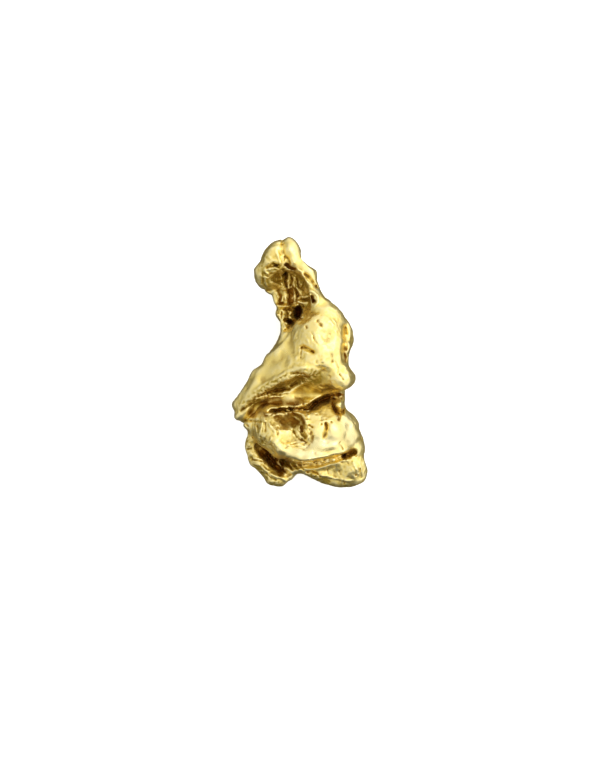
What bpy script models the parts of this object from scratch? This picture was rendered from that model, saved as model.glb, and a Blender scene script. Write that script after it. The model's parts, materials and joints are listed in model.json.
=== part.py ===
"""Placer gold nugget of about half a gram, lying on its back with its best side up.

It grew and was worn as one piece, so it is one solid. Lumps, strands and flat-sided blocks are
fused, and hollows are taken out of them. Creases are drawn into the upper side, and the back gets
dents and worn flats. The result is thinned to a light closed mesh, and ground flat where it rests.

+Z is up, +Y runs from the feet to the knob, and the origin is on the ground under the middle.
The nugget is shaped in millimetres and scaled to metres at the end, because Blender's voxels
can't be smaller than a tenth of a unit.
"""

import math

import bmesh
import bpy
import numpy as np
from mathutils import Euler, Matrix, Vector, noise

# Driving dimensions, in millimetres
LENGTH = 7.9
THICKNESS = 2.6
FLAT_DEPTH = 0.14  # how far the flats that it rests on are ground into the back
VOXEL = 0.1  # the finest that a Remesh modifier takes
WORK_SCALE = 2.0  # work units per millimetre, so a voxel is half as large on the nugget
SOFTENING = 2  # steps of smoothing over the voxels' stairs
SOFTENING_SHARE = 0.5  # how far each step moves a point towards the middle of its neighbours
TRIANGLES = 9400
MILLIMETRE = 0.001

GOLD = (0.93, 0.74, 0.34, 1.0)
GOLD_ROUGHNESS = 0.3

# Ellipsoids: centre, radii, and the turn about Z in degrees
LUMPS = {
    "crown_right": ((-0.30, 3.40, 1.50), (0.34, 0.54, 0.50), 4),
    "crown_left": ((-0.84, 3.20, 1.38), (0.47, 0.76, 0.50), -30),
    "chin": ((-1.10, 2.66, 1.15), (0.32, 0.38, 0.44), 0),
    "neck_back": ((-0.20, 2.20, 0.66), (0.54, 1.20, 0.44), 8),
    "neck_left": ((-0.56, 2.05, 0.86), (0.30, 0.95, 0.36), 6),
    "neck_right": ((0.10, 2.42, 1.06), (0.36, 1.12, 0.66), 20),
    "neck_shoulder": ((0.52, 1.62, 1.06), (0.52, 0.62, 0.72), 20),
    "body_right": ((0.62, 0.45, 1.40), (0.98, 1.38, 1.00), 4),
    "body_back": ((0.20, 0.10, 0.90), (1.25, 1.30, 0.85), -20),
    "shoulder": ((1.10, 0.76, 1.25), (0.57, 0.64, 0.75), 0),
    "cheek": ((1.13, -0.40, 1.40), (0.52, 0.52, 0.85), 0),
    "tip": ((-1.80, -1.34, 1.20), (0.32, 0.42, 0.40), 0),
    "under_tip": ((-1.40, -1.50, 0.88), (0.46, 0.40, 0.44), 0),
    "belly": ((0.64, -2.06, 1.18), (1.25, 0.98, 1.12), 0),
    "belly_left": ((-0.62, -2.16, 1.22), (0.80, 0.92, 0.90), 38),
    "left_knob": ((-1.38, -1.98, 1.18), (0.27, 0.32, 0.38), 0),
    "nodule": ((1.17, -1.32, 1.78), (0.17, 0.17, 0.26), 0),
    "toe": ((1.45, -3.25, 0.96), (0.69, 0.64, 0.66), -20),
    "heel": ((1.53, -2.70, 1.00), (0.50, 0.52, 0.62), 0),
    "belly_side": ((1.30, -2.44, 1.02), (0.60, 0.50, 0.58), 0),
    "bridge": ((0.08, -3.20, 0.80), (0.60, 0.28, 0.45), 0),
    "core": ((-0.10, -1.20, 0.75), (1.55, 1.20, 0.72), 10),
    "pocket_floor": ((-0.94, -3.00, 0.44), (0.52, 0.84, 0.36), 38),
}

# Strands: points of the centre line, each with the radius there
STRANDS = {
    "ridge": (
        (-0.24, 3.32, 1.50, 0.24),
        (0.17, 2.88, 1.55, 0.26),
        (0.27, 2.47, 1.58, 0.25),
        (0.40, 2.09, 1.60, 0.31),
        (0.60, 1.72, 1.60, 0.38),
        (0.80, 1.30, 1.58, 0.50),
    ),
    "ridge_wall": (
        (-0.10, 3.20, 1.12, 0.28),
        (0.12, 2.88, 1.12, 0.27),
        (0.24, 2.47, 1.12, 0.27),
        (0.36, 2.05, 1.12, 0.31),
        (0.56, 1.65, 1.12, 0.36),
    ),
    "neck": (
        (-0.75, 2.60, 1.00, 0.28),
        (-0.62, 2.10, 0.92, 0.25),
        (-0.57, 1.60, 0.92, 0.27),
        (-0.36, 1.08, 1.00, 0.30),
    ),
    "curl": (
        (-1.40, -2.10, 1.05, 0.24),
        (-1.54, -2.62, 0.95, 0.24),
        (-1.34, -3.12, 0.85, 0.27),
        (-1.00, -3.54, 0.78, 0.30),
        (-0.65, -3.66, 0.76, 0.27),
        (-0.36, -3.50, 0.82, 0.23),
        (-0.25, -3.20, 0.95, 0.24),
    ),
    "foot": (
        (0.20, -3.27, 0.98, 0.24),
        (0.60, -3.36, 0.98, 0.34),
        (1.20, -3.44, 0.93, 0.48),
    ),
}

# The flat facet on the upper left: a point that it goes through, and its slopes along X and Y
FACET_POINT = Vector((0.10, -0.30, 2.36))
FACET_SLOPE = (0.62, -0.44)
FACET_CORNERS = (
    (-0.20, 1.05),
    (0.00, 0.40),
    (0.06, -0.20),
    (-1.66, -1.20),
    (-2.04, -1.22),
    (-1.83, -0.70),
    (-1.46, -0.02),
    (-1.09, 0.22),
    (-0.64, 0.64),
)
# What is under the facet: the corners of the steep brow's foot and of the block's back
WEDGE_CORNERS = (
    (0.55, -0.26, 2.36),
    (0.52, -0.62, 1.62),
    (0.02, -0.74, 1.48),
    (-0.86, -1.08, 1.28),
    (-1.62, -1.42, 1.12),
    (-1.90, -1.45, 1.02),
    (-0.70, 0.50, 0.50),
    (-1.20, -0.40, 0.50),
    (-0.90, -1.10, 0.50),
    (0.40, 0.80, 0.35),
    (0.50, -0.90, 0.60),
)
# The ledge between the brow's foot and the crevice
LEDGE_CORNERS = (
    (-1.60, -1.26, 1.22),
    (-0.86, -0.92, 1.36),
    (0.02, -0.58, 1.58),
    (0.55, -0.46, 1.70),
    (1.10, -0.60, 1.66),
    (1.15, -1.00, 1.46),
    (0.30, -1.36, 1.24),
    (-0.60, -1.52, 1.10),
    (-1.40, -1.62, 1.04),
    (-1.20, -0.90, 0.50),
    (0.80, -0.60, 0.50),
    (0.20, -1.20, 0.50),
)
# The belly's lower part: nearly flat on top, with a sharp lower edge
BELLY_CORNERS = (
    (-0.80, -2.50, 1.70),
    (-0.48, -2.98, 1.64),
    (0.05, -3.10, 1.84),
    (0.62, -3.06, 1.94),
    (1.06, -2.97, 1.92),
    (1.42, -2.80, 1.82),
    (1.74, -2.40, 1.66),
    (1.80, -1.90, 1.56),
    (0.90, -2.10, 2.20),
    (0.00, -2.30, 2.08),
    (-0.50, -2.70, 0.80),
    (0.60, -2.86, 0.80),
    (1.40, -2.60, 0.80),
    (0.20, -1.80, 0.80),
)
# The foot at the right: a sloping top with a steep lower edge
FOOT_CORNERS = (
    (0.12, -3.24, 1.26),
    (0.62, -3.10, 1.40),
    (1.12, -3.00, 1.46),
    (1.60, -2.84, 1.50),
    (2.00, -2.96, 1.42),
    (2.08, -3.36, 1.30),
    (1.88, -3.72, 1.14),
    (1.42, -3.88, 1.06),
    (0.92, -3.70, 1.06),
    (0.42, -3.48, 1.10),
    (0.55, -3.30, 0.50),
    (1.80, -3.10, 0.50),
    (1.50, -3.60, 0.50),
)
BLOCK_ROUNDING = 0.06
ROUNDING_FACES = 3
LUMP_FINENESS = 4  # how often a sphere's triangles are divided
BALL_FINENESS = 3
STRAND_STEP = 0.06  # from one ball of a strand to the next

# Hollows: ellipsoids taken away, as centre, radii and turn about Z in degrees
HOLLOWS = {
    "neck_hollow": ((-0.12, 2.25, 1.62), (0.42, 0.70, 0.62), 18),
    "neck_scoop": ((-0.62, 2.10, 1.60), (0.34, 0.80, 0.52), 6),
    "neck_hole": ((-0.08, 1.56, 1.28), (0.10, 0.25, 0.62), -14),
    "neck_bottom": ((-0.32, 1.28, 1.36), (0.20, 0.10, 0.45), -28),
    "brow_bite": ((-0.62, -0.86, 2.14), (0.96, 0.27, 0.74), 26),
    "bowl": ((-0.42, -1.76, 2.35), (0.48, 0.40, 0.52), 0),
    "fold": ((0.06, -2.26, 2.40), (0.15, 0.32, 0.42), 28),
    "fold_end": ((0.14, -2.50, 2.35), (0.26, 0.11, 0.34), 8),
    "pocket": ((-0.98, -3.00, 1.25), (0.18, 0.62, 0.66), 38),
    "crevice_left": ((-0.55, -1.50, 1.70), (0.60, 0.11, 0.58), 4),
    "crevice_middle": ((0.10, -1.42, 1.80), (0.45, 0.13, 0.66), 12),
    "crevice_right": ((0.68, -1.17, 1.85), (0.68, 0.12, 0.72), 22),
    "flank_notch": ((1.74, 0.12, 1.30), (0.20, 0.16, 0.90), 0),
}

# Creases and ridges of the upper side: a line over the ground, half its width, and how far the
# surface rises there, which is negative in a crease
CREASES = {
    "crown_crease": (((-0.55, 3.75), (-0.47, 3.47), (-0.41, 3.22), (-0.33, 2.97)), 0.16, -0.08),
    "rim_crease": (((-1.00, 2.95), (-0.82, 3.04), (-0.66, 2.98)), 0.10, -0.12),
    "chin_ledge": (((-0.90, 2.50), (-0.70, 2.42), (-0.50, 2.32)), 0.10, 0.10),
    "neck_bar": (((-0.72, 1.76), (-0.52, 1.77), (-0.23, 1.78)), 0.09, 0.13),
    "neck_bar_right": (((-0.08, 1.94), (0.17, 1.84)), 0.08, 0.12),
    "crack": (((0.02, 0.47), (0.14, 0.42), (0.30, 0.34), (0.39, 0.31)), 0.12, -0.10),
    "cheek_crease": (((1.36, 1.10), (1.40, 0.70), (1.33, 0.35), (1.36, 0.05)), 0.16, -0.16),
    "foot_crease": (
        (
            (-0.55, -3.12),
            (-0.14, -3.22),
            (0.30, -3.16),
            (0.77, -3.06),
            (1.12, -3.00),
            (1.39, -2.88),
            (1.64, -2.78),
        ),
        0.14,
        -0.30,
    ),
    "nodule_ring": (
        ((1.00, -1.15), (1.02, -1.40), (1.14, -1.58), (1.34, -1.53), (1.42, -1.40)),
        0.09,
        -0.20,
    ),
    "belly_streak": (((0.80, -1.91), (0.77, -2.10), (0.73, -2.32)), 0.12, -0.09),
    "fold_ridge": (((-0.36, -2.55), (-0.02, -2.47), (0.22, -2.42), (0.27, -2.25)), 0.09, 0.10),
    "bowl_rim": (((-0.14, -1.47), (0.08, -1.60), (0.20, -1.90)), 0.10, 0.12),
    "curl_ledge": (((-1.42, -3.06), (-1.20, -3.08)), 0.09, 0.10),
}
FULL_SLOPE = 0.4  # creases have their full depth where the surface faces up by this much or more

# Relief all over: the size of a bump, and how far it rises
BUMPS = ((1.00, 0.12), (0.45, 0.06))
BUMP_SHIFT = Vector((3.1, 7.7, 1.9))

# Dents of the back and the flanks
DENT_SEED = 12
DENTS = 46
DENT_RADIUS = (0.16, 0.42)
DENT_DEPTH = 0.30  # share of the radius
DENT_CEILING = 1.35  # height that dents stay under, because the upper side has its own forms

# Worn flats: which way each faces, and how much is worn off there
WORN = {
    "back_right": ((0.75, 0.10, -0.66), 0.10),
    "back_left": ((-0.62, -0.10, -0.78), 0.10),
    "head_back": ((-0.20, 0.62, -0.76), 0.08),
    "toe_end": ((0.45, -0.86, -0.25), 0.08),
    "right_side": ((0.98, 0.15, -0.10), 0.04),
    "left_side": ((-0.90, -0.42, -0.12), 0.04),
}


def clear_scene():
    for obj in list(bpy.data.objects):
        bpy.data.objects.remove(obj)


def add_ellipsoid(bm, centre, radii, turn=0.0, fineness=LUMP_FINENESS):
    """A unit sphere stretched to the radii, turned about Z and moved to its centre."""
    place = (
        Matrix.Scale(WORK_SCALE, 4)
        @ Matrix.Translation(centre)
        @ Euler((0, 0, math.radians(turn))).to_matrix().to_4x4()
        @ Matrix.Diagonal((*radii, 1))
    )
    bmesh.ops.create_icosphere(bm, subdivisions=fineness, radius=1, matrix=place)


def add_strand(bm, points):
    """Balls strung closely along the line through the points, with the radius worked out between them."""
    points = np.array(points)
    along = np.r_[0, np.cumsum(np.linalg.norm(np.diff(points[:, :3], axis=0), axis=1))]
    for where in np.arange(0, along[-1] + STRAND_STEP, STRAND_STEP):
        x, y, z, radius = (np.interp(where, along, column) for column in points.T)
        add_ellipsoid(bm, (x, y, z), (radius,) * 3, fineness=BALL_FINENESS)


def wedge_corners():
    """The facet's corners, each at its height on the facet's plane, and those under it."""
    facet = []
    for x, y in FACET_CORNERS:
        away = x - FACET_POINT.x, y - FACET_POINT.y
        facet.append((x, y, FACET_POINT.z + FACET_SLOPE[0] * away[0] + FACET_SLOPE[1] * away[1]))
    return (*facet, *WEDGE_CORNERS)


def add_block(bm, corners):
    """The convex block through the corners, with its edges rounded."""
    block = bmesh.new()
    for corner in corners:
        block.verts.new(WORK_SCALE * Vector(corner))
    hull = bmesh.ops.convex_hull(block, input=block.verts)
    inside = [v for v in hull["geom_interior"] if isinstance(v, bmesh.types.BMVert)]
    bmesh.ops.delete(block, geom=inside, context="VERTS")
    bmesh.ops.bevel(
        block,
        geom=block.edges[:],
        offset=BLOCK_ROUNDING * WORK_SCALE,
        segments=ROUNDING_FACES,
        affect="EDGES",
        clamp_overlap=True,
    )
    piece = bpy.data.meshes.new("block")
    block.to_mesh(piece)
    block.free()
    bm.from_mesh(piece)
    bpy.data.meshes.remove(piece)


def object_from(name, bm):
    mesh = bpy.data.meshes.new(name)
    bm.to_mesh(mesh)
    bm.free()
    obj = bpy.data.objects.new(name, mesh)
    bpy.context.scene.collection.objects.link(obj)
    return obj


def fused_body():
    bm = bmesh.new()
    for centre, radii, turn in LUMPS.values():
        add_ellipsoid(bm, centre, radii, turn)
    for points in STRANDS.values():
        add_strand(bm, points)
    for corners in (wedge_corners(), LEDGE_CORNERS, BELLY_CORNERS, FOOT_CORNERS):
        add_block(bm, corners)
    return object_from("nugget", bm)


def hollow_cutter():
    bm = bmesh.new()
    for centre, radii, turn in HOLLOWS.values():
        add_ellipsoid(bm, centre, radii, turn, fineness=BALL_FINENESS)
    cutter = object_from("hollows", bm)
    cutter.hide_render = True
    cutter.display_type = "WIRE"
    return cutter


def add_remesh(obj, name):
    remesh = obj.modifiers.new(name, "REMESH")
    remesh.mode = "VOXEL"
    remesh.voxel_size = VOXEL


def add_smoothing(obj, name, steps):
    smooth = obj.modifiers.new(name, "SMOOTH")
    smooth.factor = SOFTENING_SHARE
    smooth.iterations = steps


def apply_modifiers(obj):
    graph = bpy.context.evaluated_depsgraph_get()
    mesh = bpy.data.meshes.new_from_object(obj.evaluated_get(graph))
    obj.modifiers.clear()
    obj.data = mesh


def press_hollows(obj, cutter):
    add_remesh(obj, "fuse")
    cut = obj.modifiers.new("hollows", "BOOLEAN")
    cut.operation = "DIFFERENCE"
    cut.object = cutter
    cut.use_self = True
    add_remesh(obj, "even_out")
    add_smoothing(obj, "soften", SOFTENING)
    apply_modifiers(obj)


def vertex_array(mesh, field):
    """That field of every vertex, as an array with a row for each."""
    values = np.empty(len(mesh.vertices) * 3, np.float32)
    mesh.vertices.foreach_get(field, values)
    return values.reshape(-1, 3).astype(float)


def move_vertices(mesh, shift):
    """Moves every vertex by its row of the shift, which is in millimetres."""
    points = vertex_array(mesh, "co") + shift * WORK_SCALE
    mesh.vertices.foreach_set("co", points.astype(np.float32).ravel())
    mesh.update()


def distance_to_line(points, line):
    """How far each point of the plane is from a line of straight runs."""
    line = np.array(line)
    nearest = np.full(len(points), np.inf)
    for start, end in zip(line[:-1], line[1:]):
        run = end - start
        share = np.clip((points - start) @ run / (run @ run), 0, 1)
        away = np.linalg.norm(points - start - share[:, None] * run, axis=1)
        nearest = np.minimum(nearest, away)
    return nearest


def rounded_fall(distance, radius):
    """One at the centre, falling smoothly to nothing at the radius: (1 - (d/r)^2)^2."""
    return np.clip(1 - (distance / radius) ** 2, 0, 1) ** 2


def draw_creases(mesh):
    """Raises or sinks the upper side along each line, straight up or down, so that nothing folds over."""
    points = vertex_array(mesh, "co") / WORK_SCALE
    upward = np.clip(vertex_array(mesh, "normal")[:, 2] / FULL_SLOPE, 0, 1)
    shift = np.zeros_like(points)
    for line, half_width, height in CREASES.values():
        shift[:, 2] += height * upward * rounded_fall(distance_to_line(points[:, :2], line), half_width)
    move_vertices(mesh, shift)


def add_bumps(mesh):
    """Lumpy relief at two sizes, from Blender's own noise, along the surface's normals."""
    points = vertex_array(mesh, "co") / WORK_SCALE
    rise = np.zeros(len(points))
    for size, height in BUMPS:
        rise += height * np.array([noise.noise(Vector(p) / size + BUMP_SHIFT) for p in points])
    move_vertices(mesh, vertex_array(mesh, "normal") * rise[:, None])


def press_dents(mesh):
    """Round dents at scattered places of the lower half, each pressed in along the normal at its middle."""
    random = np.random.default_rng(DENT_SEED)
    points = vertex_array(mesh, "co") / WORK_SCALE
    normals = vertex_array(mesh, "normal")
    low = np.flatnonzero(points[:, 2] < DENT_CEILING)
    shift = np.zeros_like(points)
    for middle in random.choice(low, DENTS, replace=False):
        radius = random.uniform(*DENT_RADIUS)
        away = np.linalg.norm(points - points[middle], axis=1)
        depth = DENT_DEPTH * radius * rounded_fall(away, radius)
        shift -= depth[:, None] * normals[middle]
    move_vertices(mesh, shift)


def wear_flats(mesh):
    """Whatever stands past each plane is pressed back onto it."""
    for direction, depth in WORN.values():
        direction = np.array(direction) / np.linalg.norm(direction)
        height = vertex_array(mesh, "co") @ direction / WORK_SCALE
        past = np.clip(height - (height.max() - depth), 0, None)
        move_vertices(mesh, -past[:, None] * direction)


def thin_out(obj):
    obj.data.calc_loop_triangles()
    thin = obj.modifiers.new("thin", "DECIMATE")
    thin.ratio = min(1, TRIANGLES / len(obj.data.loop_triangles))
    thin.use_collapse_triangulate = True
    apply_modifiers(obj)


def grind_flats(obj, ground):
    """Cuts the lowest skin off along the ground, which leaves the flats that the nugget rests on."""
    bm = bmesh.new()
    bm.from_mesh(obj.data)
    cut = bmesh.ops.bisect_plane(
        bm,
        geom=bm.verts[:] + bm.edges[:] + bm.faces[:],
        plane_co=(0, 0, ground),
        plane_no=(0, 0, -1),
        clear_outer=True,
    )
    rims = [e for e in cut["geom_cut"] if isinstance(e, bmesh.types.BMEdge)]
    bmesh.ops.holes_fill(bm, edges=rims)
    bm.to_mesh(obj.data)
    bm.free()


def connected_shells(bm):
    """The sets of vertices that edges join, the smallest set first."""
    left = set(bm.verts)
    shells = []
    while left:
        shell = set()
        reached = [left.pop()]
        while reached:
            vertex = reached.pop()
            shell.add(vertex)
            fresh = {edge.other_vert(vertex) for edge in vertex.link_edges} & left
            left -= fresh
            reached.extend(fresh)
        shells.append(shell)
    return sorted(shells, key=len)


def drop_slivers(mesh):
    """Leaves only the largest shell, because a cut through folded skin can leave slivers beside it."""
    bm = bmesh.new()
    bm.from_mesh(mesh)
    for shell in connected_shells(bm)[:-1]:
        bmesh.ops.delete(bm, geom=list(shell), context="VERTS")
    bm.to_mesh(mesh)
    bm.free()


def stand_on_origin(mesh):
    """Brings the mesh to its length and thickness in metres, with the middle of its box over the origin."""
    points = vertex_array(mesh, "co")
    low, high = points.min(axis=0), points.max(axis=0)
    middle = Vector(((low[0] + high[0]) / 2, (low[1] + high[1]) / 2, low[2]))
    across = MILLIMETRE * LENGTH / (high[1] - low[1])
    upward = MILLIMETRE * THICKNESS / (high[2] - low[2])
    mesh.transform(Matrix.Diagonal((across, across, upward, 1)) @ Matrix.Translation(-middle))


def gold_material():
    material = bpy.data.materials.new("gold")
    material.use_nodes = True
    shader = material.node_tree.nodes["Principled BSDF"]
    shader.inputs["Base Color"].default_value = GOLD
    shader.inputs["Metallic"].default_value = 1.0
    shader.inputs["Roughness"].default_value = GOLD_ROUGHNESS
    return material


def main():
    clear_scene()
    nugget = fused_body()
    press_hollows(nugget, hollow_cutter())
    add_bumps(nugget.data)
    press_dents(nugget.data)
    draw_creases(nugget.data)
    wear_flats(nugget.data)
    thin_out(nugget)
    lowest = vertex_array(nugget.data, "co")[:, 2].min()
    grind_flats(nugget, lowest + FLAT_DEPTH * WORK_SCALE)
    drop_slivers(nugget.data)
    stand_on_origin(nugget.data)
    nugget.data.shade_smooth()
    nugget.data.materials.append(gold_material())


main()
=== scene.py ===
# %% [markdown]
# # A gold nugget of half a gram
#
# Placer gold is soft. A stream rolls it among stones for years, so what stands proud is worn
# smooth and bright, and what lies deep keeps its crags and the brown stain of the ground. The
# nugget grew as one piece, so it is one mesh here too.

# %% Load the solid that gives the nugget its size
import json

import bmesh
import bpy
import numpy as np
from mathutils import Matrix, Vector

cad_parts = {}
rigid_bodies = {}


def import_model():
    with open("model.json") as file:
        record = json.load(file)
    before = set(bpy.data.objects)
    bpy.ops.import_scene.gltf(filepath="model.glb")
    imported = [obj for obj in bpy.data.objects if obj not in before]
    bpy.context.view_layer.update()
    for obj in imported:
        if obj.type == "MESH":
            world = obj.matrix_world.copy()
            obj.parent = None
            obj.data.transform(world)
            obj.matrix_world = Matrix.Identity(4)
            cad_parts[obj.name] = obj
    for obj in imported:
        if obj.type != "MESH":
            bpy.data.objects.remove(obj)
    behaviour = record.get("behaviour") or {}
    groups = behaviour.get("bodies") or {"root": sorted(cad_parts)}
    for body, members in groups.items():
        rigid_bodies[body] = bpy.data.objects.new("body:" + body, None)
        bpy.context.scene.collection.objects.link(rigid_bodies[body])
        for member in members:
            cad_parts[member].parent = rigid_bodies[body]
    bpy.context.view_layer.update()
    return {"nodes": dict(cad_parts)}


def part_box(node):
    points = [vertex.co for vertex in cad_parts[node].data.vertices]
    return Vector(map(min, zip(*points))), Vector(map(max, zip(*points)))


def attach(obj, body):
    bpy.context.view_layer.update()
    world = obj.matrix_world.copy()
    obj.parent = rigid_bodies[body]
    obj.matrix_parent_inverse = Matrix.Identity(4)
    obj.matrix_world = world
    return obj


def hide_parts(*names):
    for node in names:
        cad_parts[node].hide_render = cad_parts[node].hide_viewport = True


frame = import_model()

MM = 0.001
solid = frame["nodes"]["nugget"]
low, high = (np.array(corner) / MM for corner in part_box("nugget"))
print("the solid's box in mm:", (high - low).round(2))

# %% [markdown]
# ## The scale of the photograph
#
# The nugget lies on its back and the camera looks straight down on it, so a column and a row of
# the picture are a place over the ground. The nugget's own ends give the scale. Every crease below
# is named and placed by the pixels that it runs through, and comes out in millimetres.

# %% Turn a pixel of the photograph into a place over the ground
PICTURE = (600, 780)
TOP_ROW, FOOT_ROW = 237.6, 488.1
MIDDLE_COLUMN = 299.8
PIXELS_PER_MM = (FOOT_ROW - TOP_ROW) / (high[1] - low[1])
MIDDLE_ROW = (TOP_ROW + FOOT_ROW) / 2


def over_ground(pixels):
    """Columns and rows to X and Y in millimetres: X grows to the right, and Y up the picture."""
    pixels = np.asarray(pixels, float)
    return np.stack([pixels[..., 0] - MIDDLE_COLUMN, MIDDLE_ROW - pixels[..., 1]], -1) / PIXELS_PER_MM


print("pixels to a millimetre:", round(PIXELS_PER_MM, 2))

# %% [markdown]
# ## A mesh fine enough to sculpt
#
# A nugget has no two parameters that a formula could run along, so its skin starts from the
# solid. A copy is merged and remeshed with small voxels, which gives evenly spaced points, and
# smoothed until the solid's facets are gone. The Remesh modifier takes no voxel under a tenth of
# a unit, so the work is done enlarged. From there every form is a whole-array formula in numpy
# that moves the points.

# %% Copy the solid, remesh it finely and smooth the facets away
FINE = 0.024  # spacing of the points, in mm
SMALLEST_VOXEL = 0.1
ENLARGED = SMALLEST_VOXEL / FINE / MM  # units in a metre while remeshing
MERGE = 1e-7
FACET_SMOOTHING = 14
SMOOTHING_SHARE = 0.5  # how far each round moves a point towards its neighbours


def merged_copy(source, name):
    """A copy of the mesh with the corners of its loose triangles joined."""
    bm = bmesh.new()
    bm.from_mesh(source.data)
    bmesh.ops.remove_doubles(bm, verts=bm.verts[:], dist=MERGE)
    bmesh.ops.scale(bm, verts=bm.verts[:], vec=(ENLARGED,) * 3)
    mesh = bpy.data.meshes.new(name)
    bm.to_mesh(mesh)
    bm.free()
    made = bpy.data.objects.new(name, mesh)
    bpy.context.scene.collection.objects.link(made)
    return made


def bake_modifiers(obj):
    """Replaces the mesh by what the modifiers make of it, and removes them."""
    graph = bpy.context.evaluated_depsgraph_get()
    mesh = bpy.data.meshes.new_from_object(obj.evaluated_get(graph))
    obj.modifiers.clear()
    obj.data = mesh


nugget = merged_copy(solid, "nugget_skin")
remesh = nugget.modifiers.new("fine_voxels", "REMESH")
remesh.mode = "VOXEL"
remesh.voxel_size = SMALLEST_VOXEL
smooth = nugget.modifiers.new("no_facets", "SMOOTH")
smooth.factor = SMOOTHING_SHARE
smooth.iterations = FACET_SMOOTHING
bake_modifiers(nugget)
print("fine mesh:", len(nugget.data.vertices), "points")

# %% [markdown]
# ## Points as whole arrays
#
# A mesh of two hundred thousand points is slow to change one by one. foreach_get copies all of them
# into one numpy array and foreach_set writes them back, and between the two a formula works on
# every point at once. Two smooth curves, used all over the nugget, are kept here too.

# %% Read and move the points as arrays, in millimetres
TO_MM = 1 / ENLARGED / MM


def read_field(field):
    """That field of every vertex, as an array with a row for each."""
    values = np.empty(len(nugget.data.vertices) * 3, np.float32)
    nugget.data.vertices.foreach_get(field, values)
    return values.reshape(-1, 3).astype(float)


def read_points():
    """The place of every vertex, in millimetres."""
    return read_field("co") * TO_MM


def read_normals():
    """Which way the surface faces at every vertex, as a direction with a length of one."""
    return read_field("normal")


def write_points(points):
    """Moves every vertex to its row of the points, which are in millimetres."""
    nugget.data.vertices.foreach_set("co", (points / TO_MM).astype(np.float32).ravel())
    nugget.data.update()


def rounded_fall(distance, radius):
    """One at the middle, falling smoothly to nothing at the radius: (1 - (d/r)^2)^2."""
    return np.clip(1 - (distance / radius) ** 2, 0, 1) ** 2


def smooth_step(value, start, end):
    """Nothing up to start, one from end on, and 3t^2 - 2t^3 between them."""
    t = np.clip((value - start) / (end - start), 0, 1)
    return t * t * (3 - 2 * t)


print("the points reach", read_points().max(axis=0).round(2), "mm")

# %% [markdown]
# ## Creases, ridges and pits where the photograph shows them
#
# A feature is a line through a few pixels, half its width in pixels, and how far the surface
# rises along it in millimetres, which is negative in a crease. A single pixel makes a round pit
# or a bead. The points move straight up or down, only where the surface looks up, so that a steep
# wall isn't folded over.

# %% The function that carves one feature
FULL_SLOPE = 0.45  # the surface takes the whole depth where it looks up by this much or more
WANDER = 0.7  # share of the half width by which a line wanders at full unevenness
WANDER_NOISE = 0.10, 5  # size in mm and seed of the noise that makes a line wander
FADE_NOISE = 0.13, 6  # the same for the noise that makes it fade and deepen
FADE_LOSS = 0.3  # share of the rise that is lost on average at full unevenness
LEAST_RISE, MOST_RISE = 0.1, 1.4  # limits of the uneven rise, as shares of the even one
SEARCHED = 1.4  # how far from a line its points are looked for, in half widths
STEEPEST_RIDGE, STEEPEST_PIT = 1.3, 1.9  # most rise and most depth, as shares of the half width


def distance_to_line(place, line):
    """How far each place over the ground is from a line of straight runs, or from a single point."""
    nearest = np.linalg.norm(place - line[0], axis=1)
    for start, end in zip(line[:-1], line[1:]):
        run = end - start
        share = np.clip((place - start) @ run / (run @ run), 0, 1)
        nearest = np.minimum(nearest, np.linalg.norm(place - start - share[:, None] * run, axis=1))
    return nearest


def rise_of(points, features, unevenness):
    """Adds up the rise of all features: each is highest on its line and nothing at its half width.
    Noise makes a line wander, and makes it fade and deepen along its way by the unevenness."""
    rise = np.zeros(len(points))
    wobble = 1 + WANDER * unevenness * lattice_noise(points, *WANDER_NOISE)
    fading = unevenness * lattice_noise(points, *FADE_NOISE)
    uneven = np.clip(1 - FADE_LOSS * unevenness + fading, LEAST_RISE, MOST_RISE)
    for pixels, half_width, height in features.values():
        line = over_ground(pixels)
        reach = half_width / PIXELS_PER_MM
        margin = reach * SEARCHED
        box_low, box_high = line.min(axis=0) - margin, line.max(axis=0) + margin
        near = np.flatnonzero(((points[:, :2] > box_low) & (points[:, :2] < box_high)).all(axis=1))
        away = distance_to_line(points[near, :2], line) * wobble[near]
        height = np.clip(height, -STEEPEST_PIT * reach, STEEPEST_RIDGE * reach)
        rise[near] += height * uneven[near] * rounded_fall(away, reach)
    return rise


print("a pit is", STEEPEST_PIT, "times as deep as half its width at most, and a ridge", STEEPEST_RIDGE)

# %% [markdown]
# ## Noise for what no photograph shows
#
# Natural unevenness could come from Blender's own noise, but that is asked point by point. This
# noise is the same idea on whole arrays. Each corner of a cubic lattice holds a random slope, and
# the slopes are blended between the corners.

# %% Noise that has no direction: a lattice of random slopes
SLOPE_COUNT, SLOPE_SEED = 4096, 4
SLOPES = np.random.default_rng(SLOPE_SEED).normal(size=(SLOPE_COUNT, 3))
SLOPES /= np.linalg.norm(SLOPES, axis=1)[:, None]
# Large odd numbers, which turn a corner's three whole numbers and the seed into a slope's number
MIXERS = np.array((73856093, 19349663, 83492791), np.int64)
SEED_MIXER = 7919
NOISE_GAIN = 1.6  # brings the blend of slopes to about -1 to 1


def lattice_noise(points, size, seed):
    """Each lattice corner has a random slope. A point takes the slopes of its eight corners times
    its way from them, weighted by 6t^5 - 15t^4 + 10t^3 along each axis. It runs from about -1 to 1."""
    cell = points / size
    corner = np.floor(cell).astype(np.int64)
    t = cell - corner
    fade = t**3 * (t * (6 * t - 15) + 10)
    total = np.zeros(len(points))
    for offset in np.ndindex(2, 2, 2):
        which = (((corner + offset) * MIXERS).sum(axis=1) + seed * SEED_MIXER) % SLOPE_COUNT
        weight = np.where(np.array(offset, bool), fade, 1 - fade).prod(axis=1)
        total += weight * (SLOPES[which] * (t - offset)).sum(axis=1)
    return total * NOISE_GAIN


print("noise from", SLOPE_COUNT, "random slopes")

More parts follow.
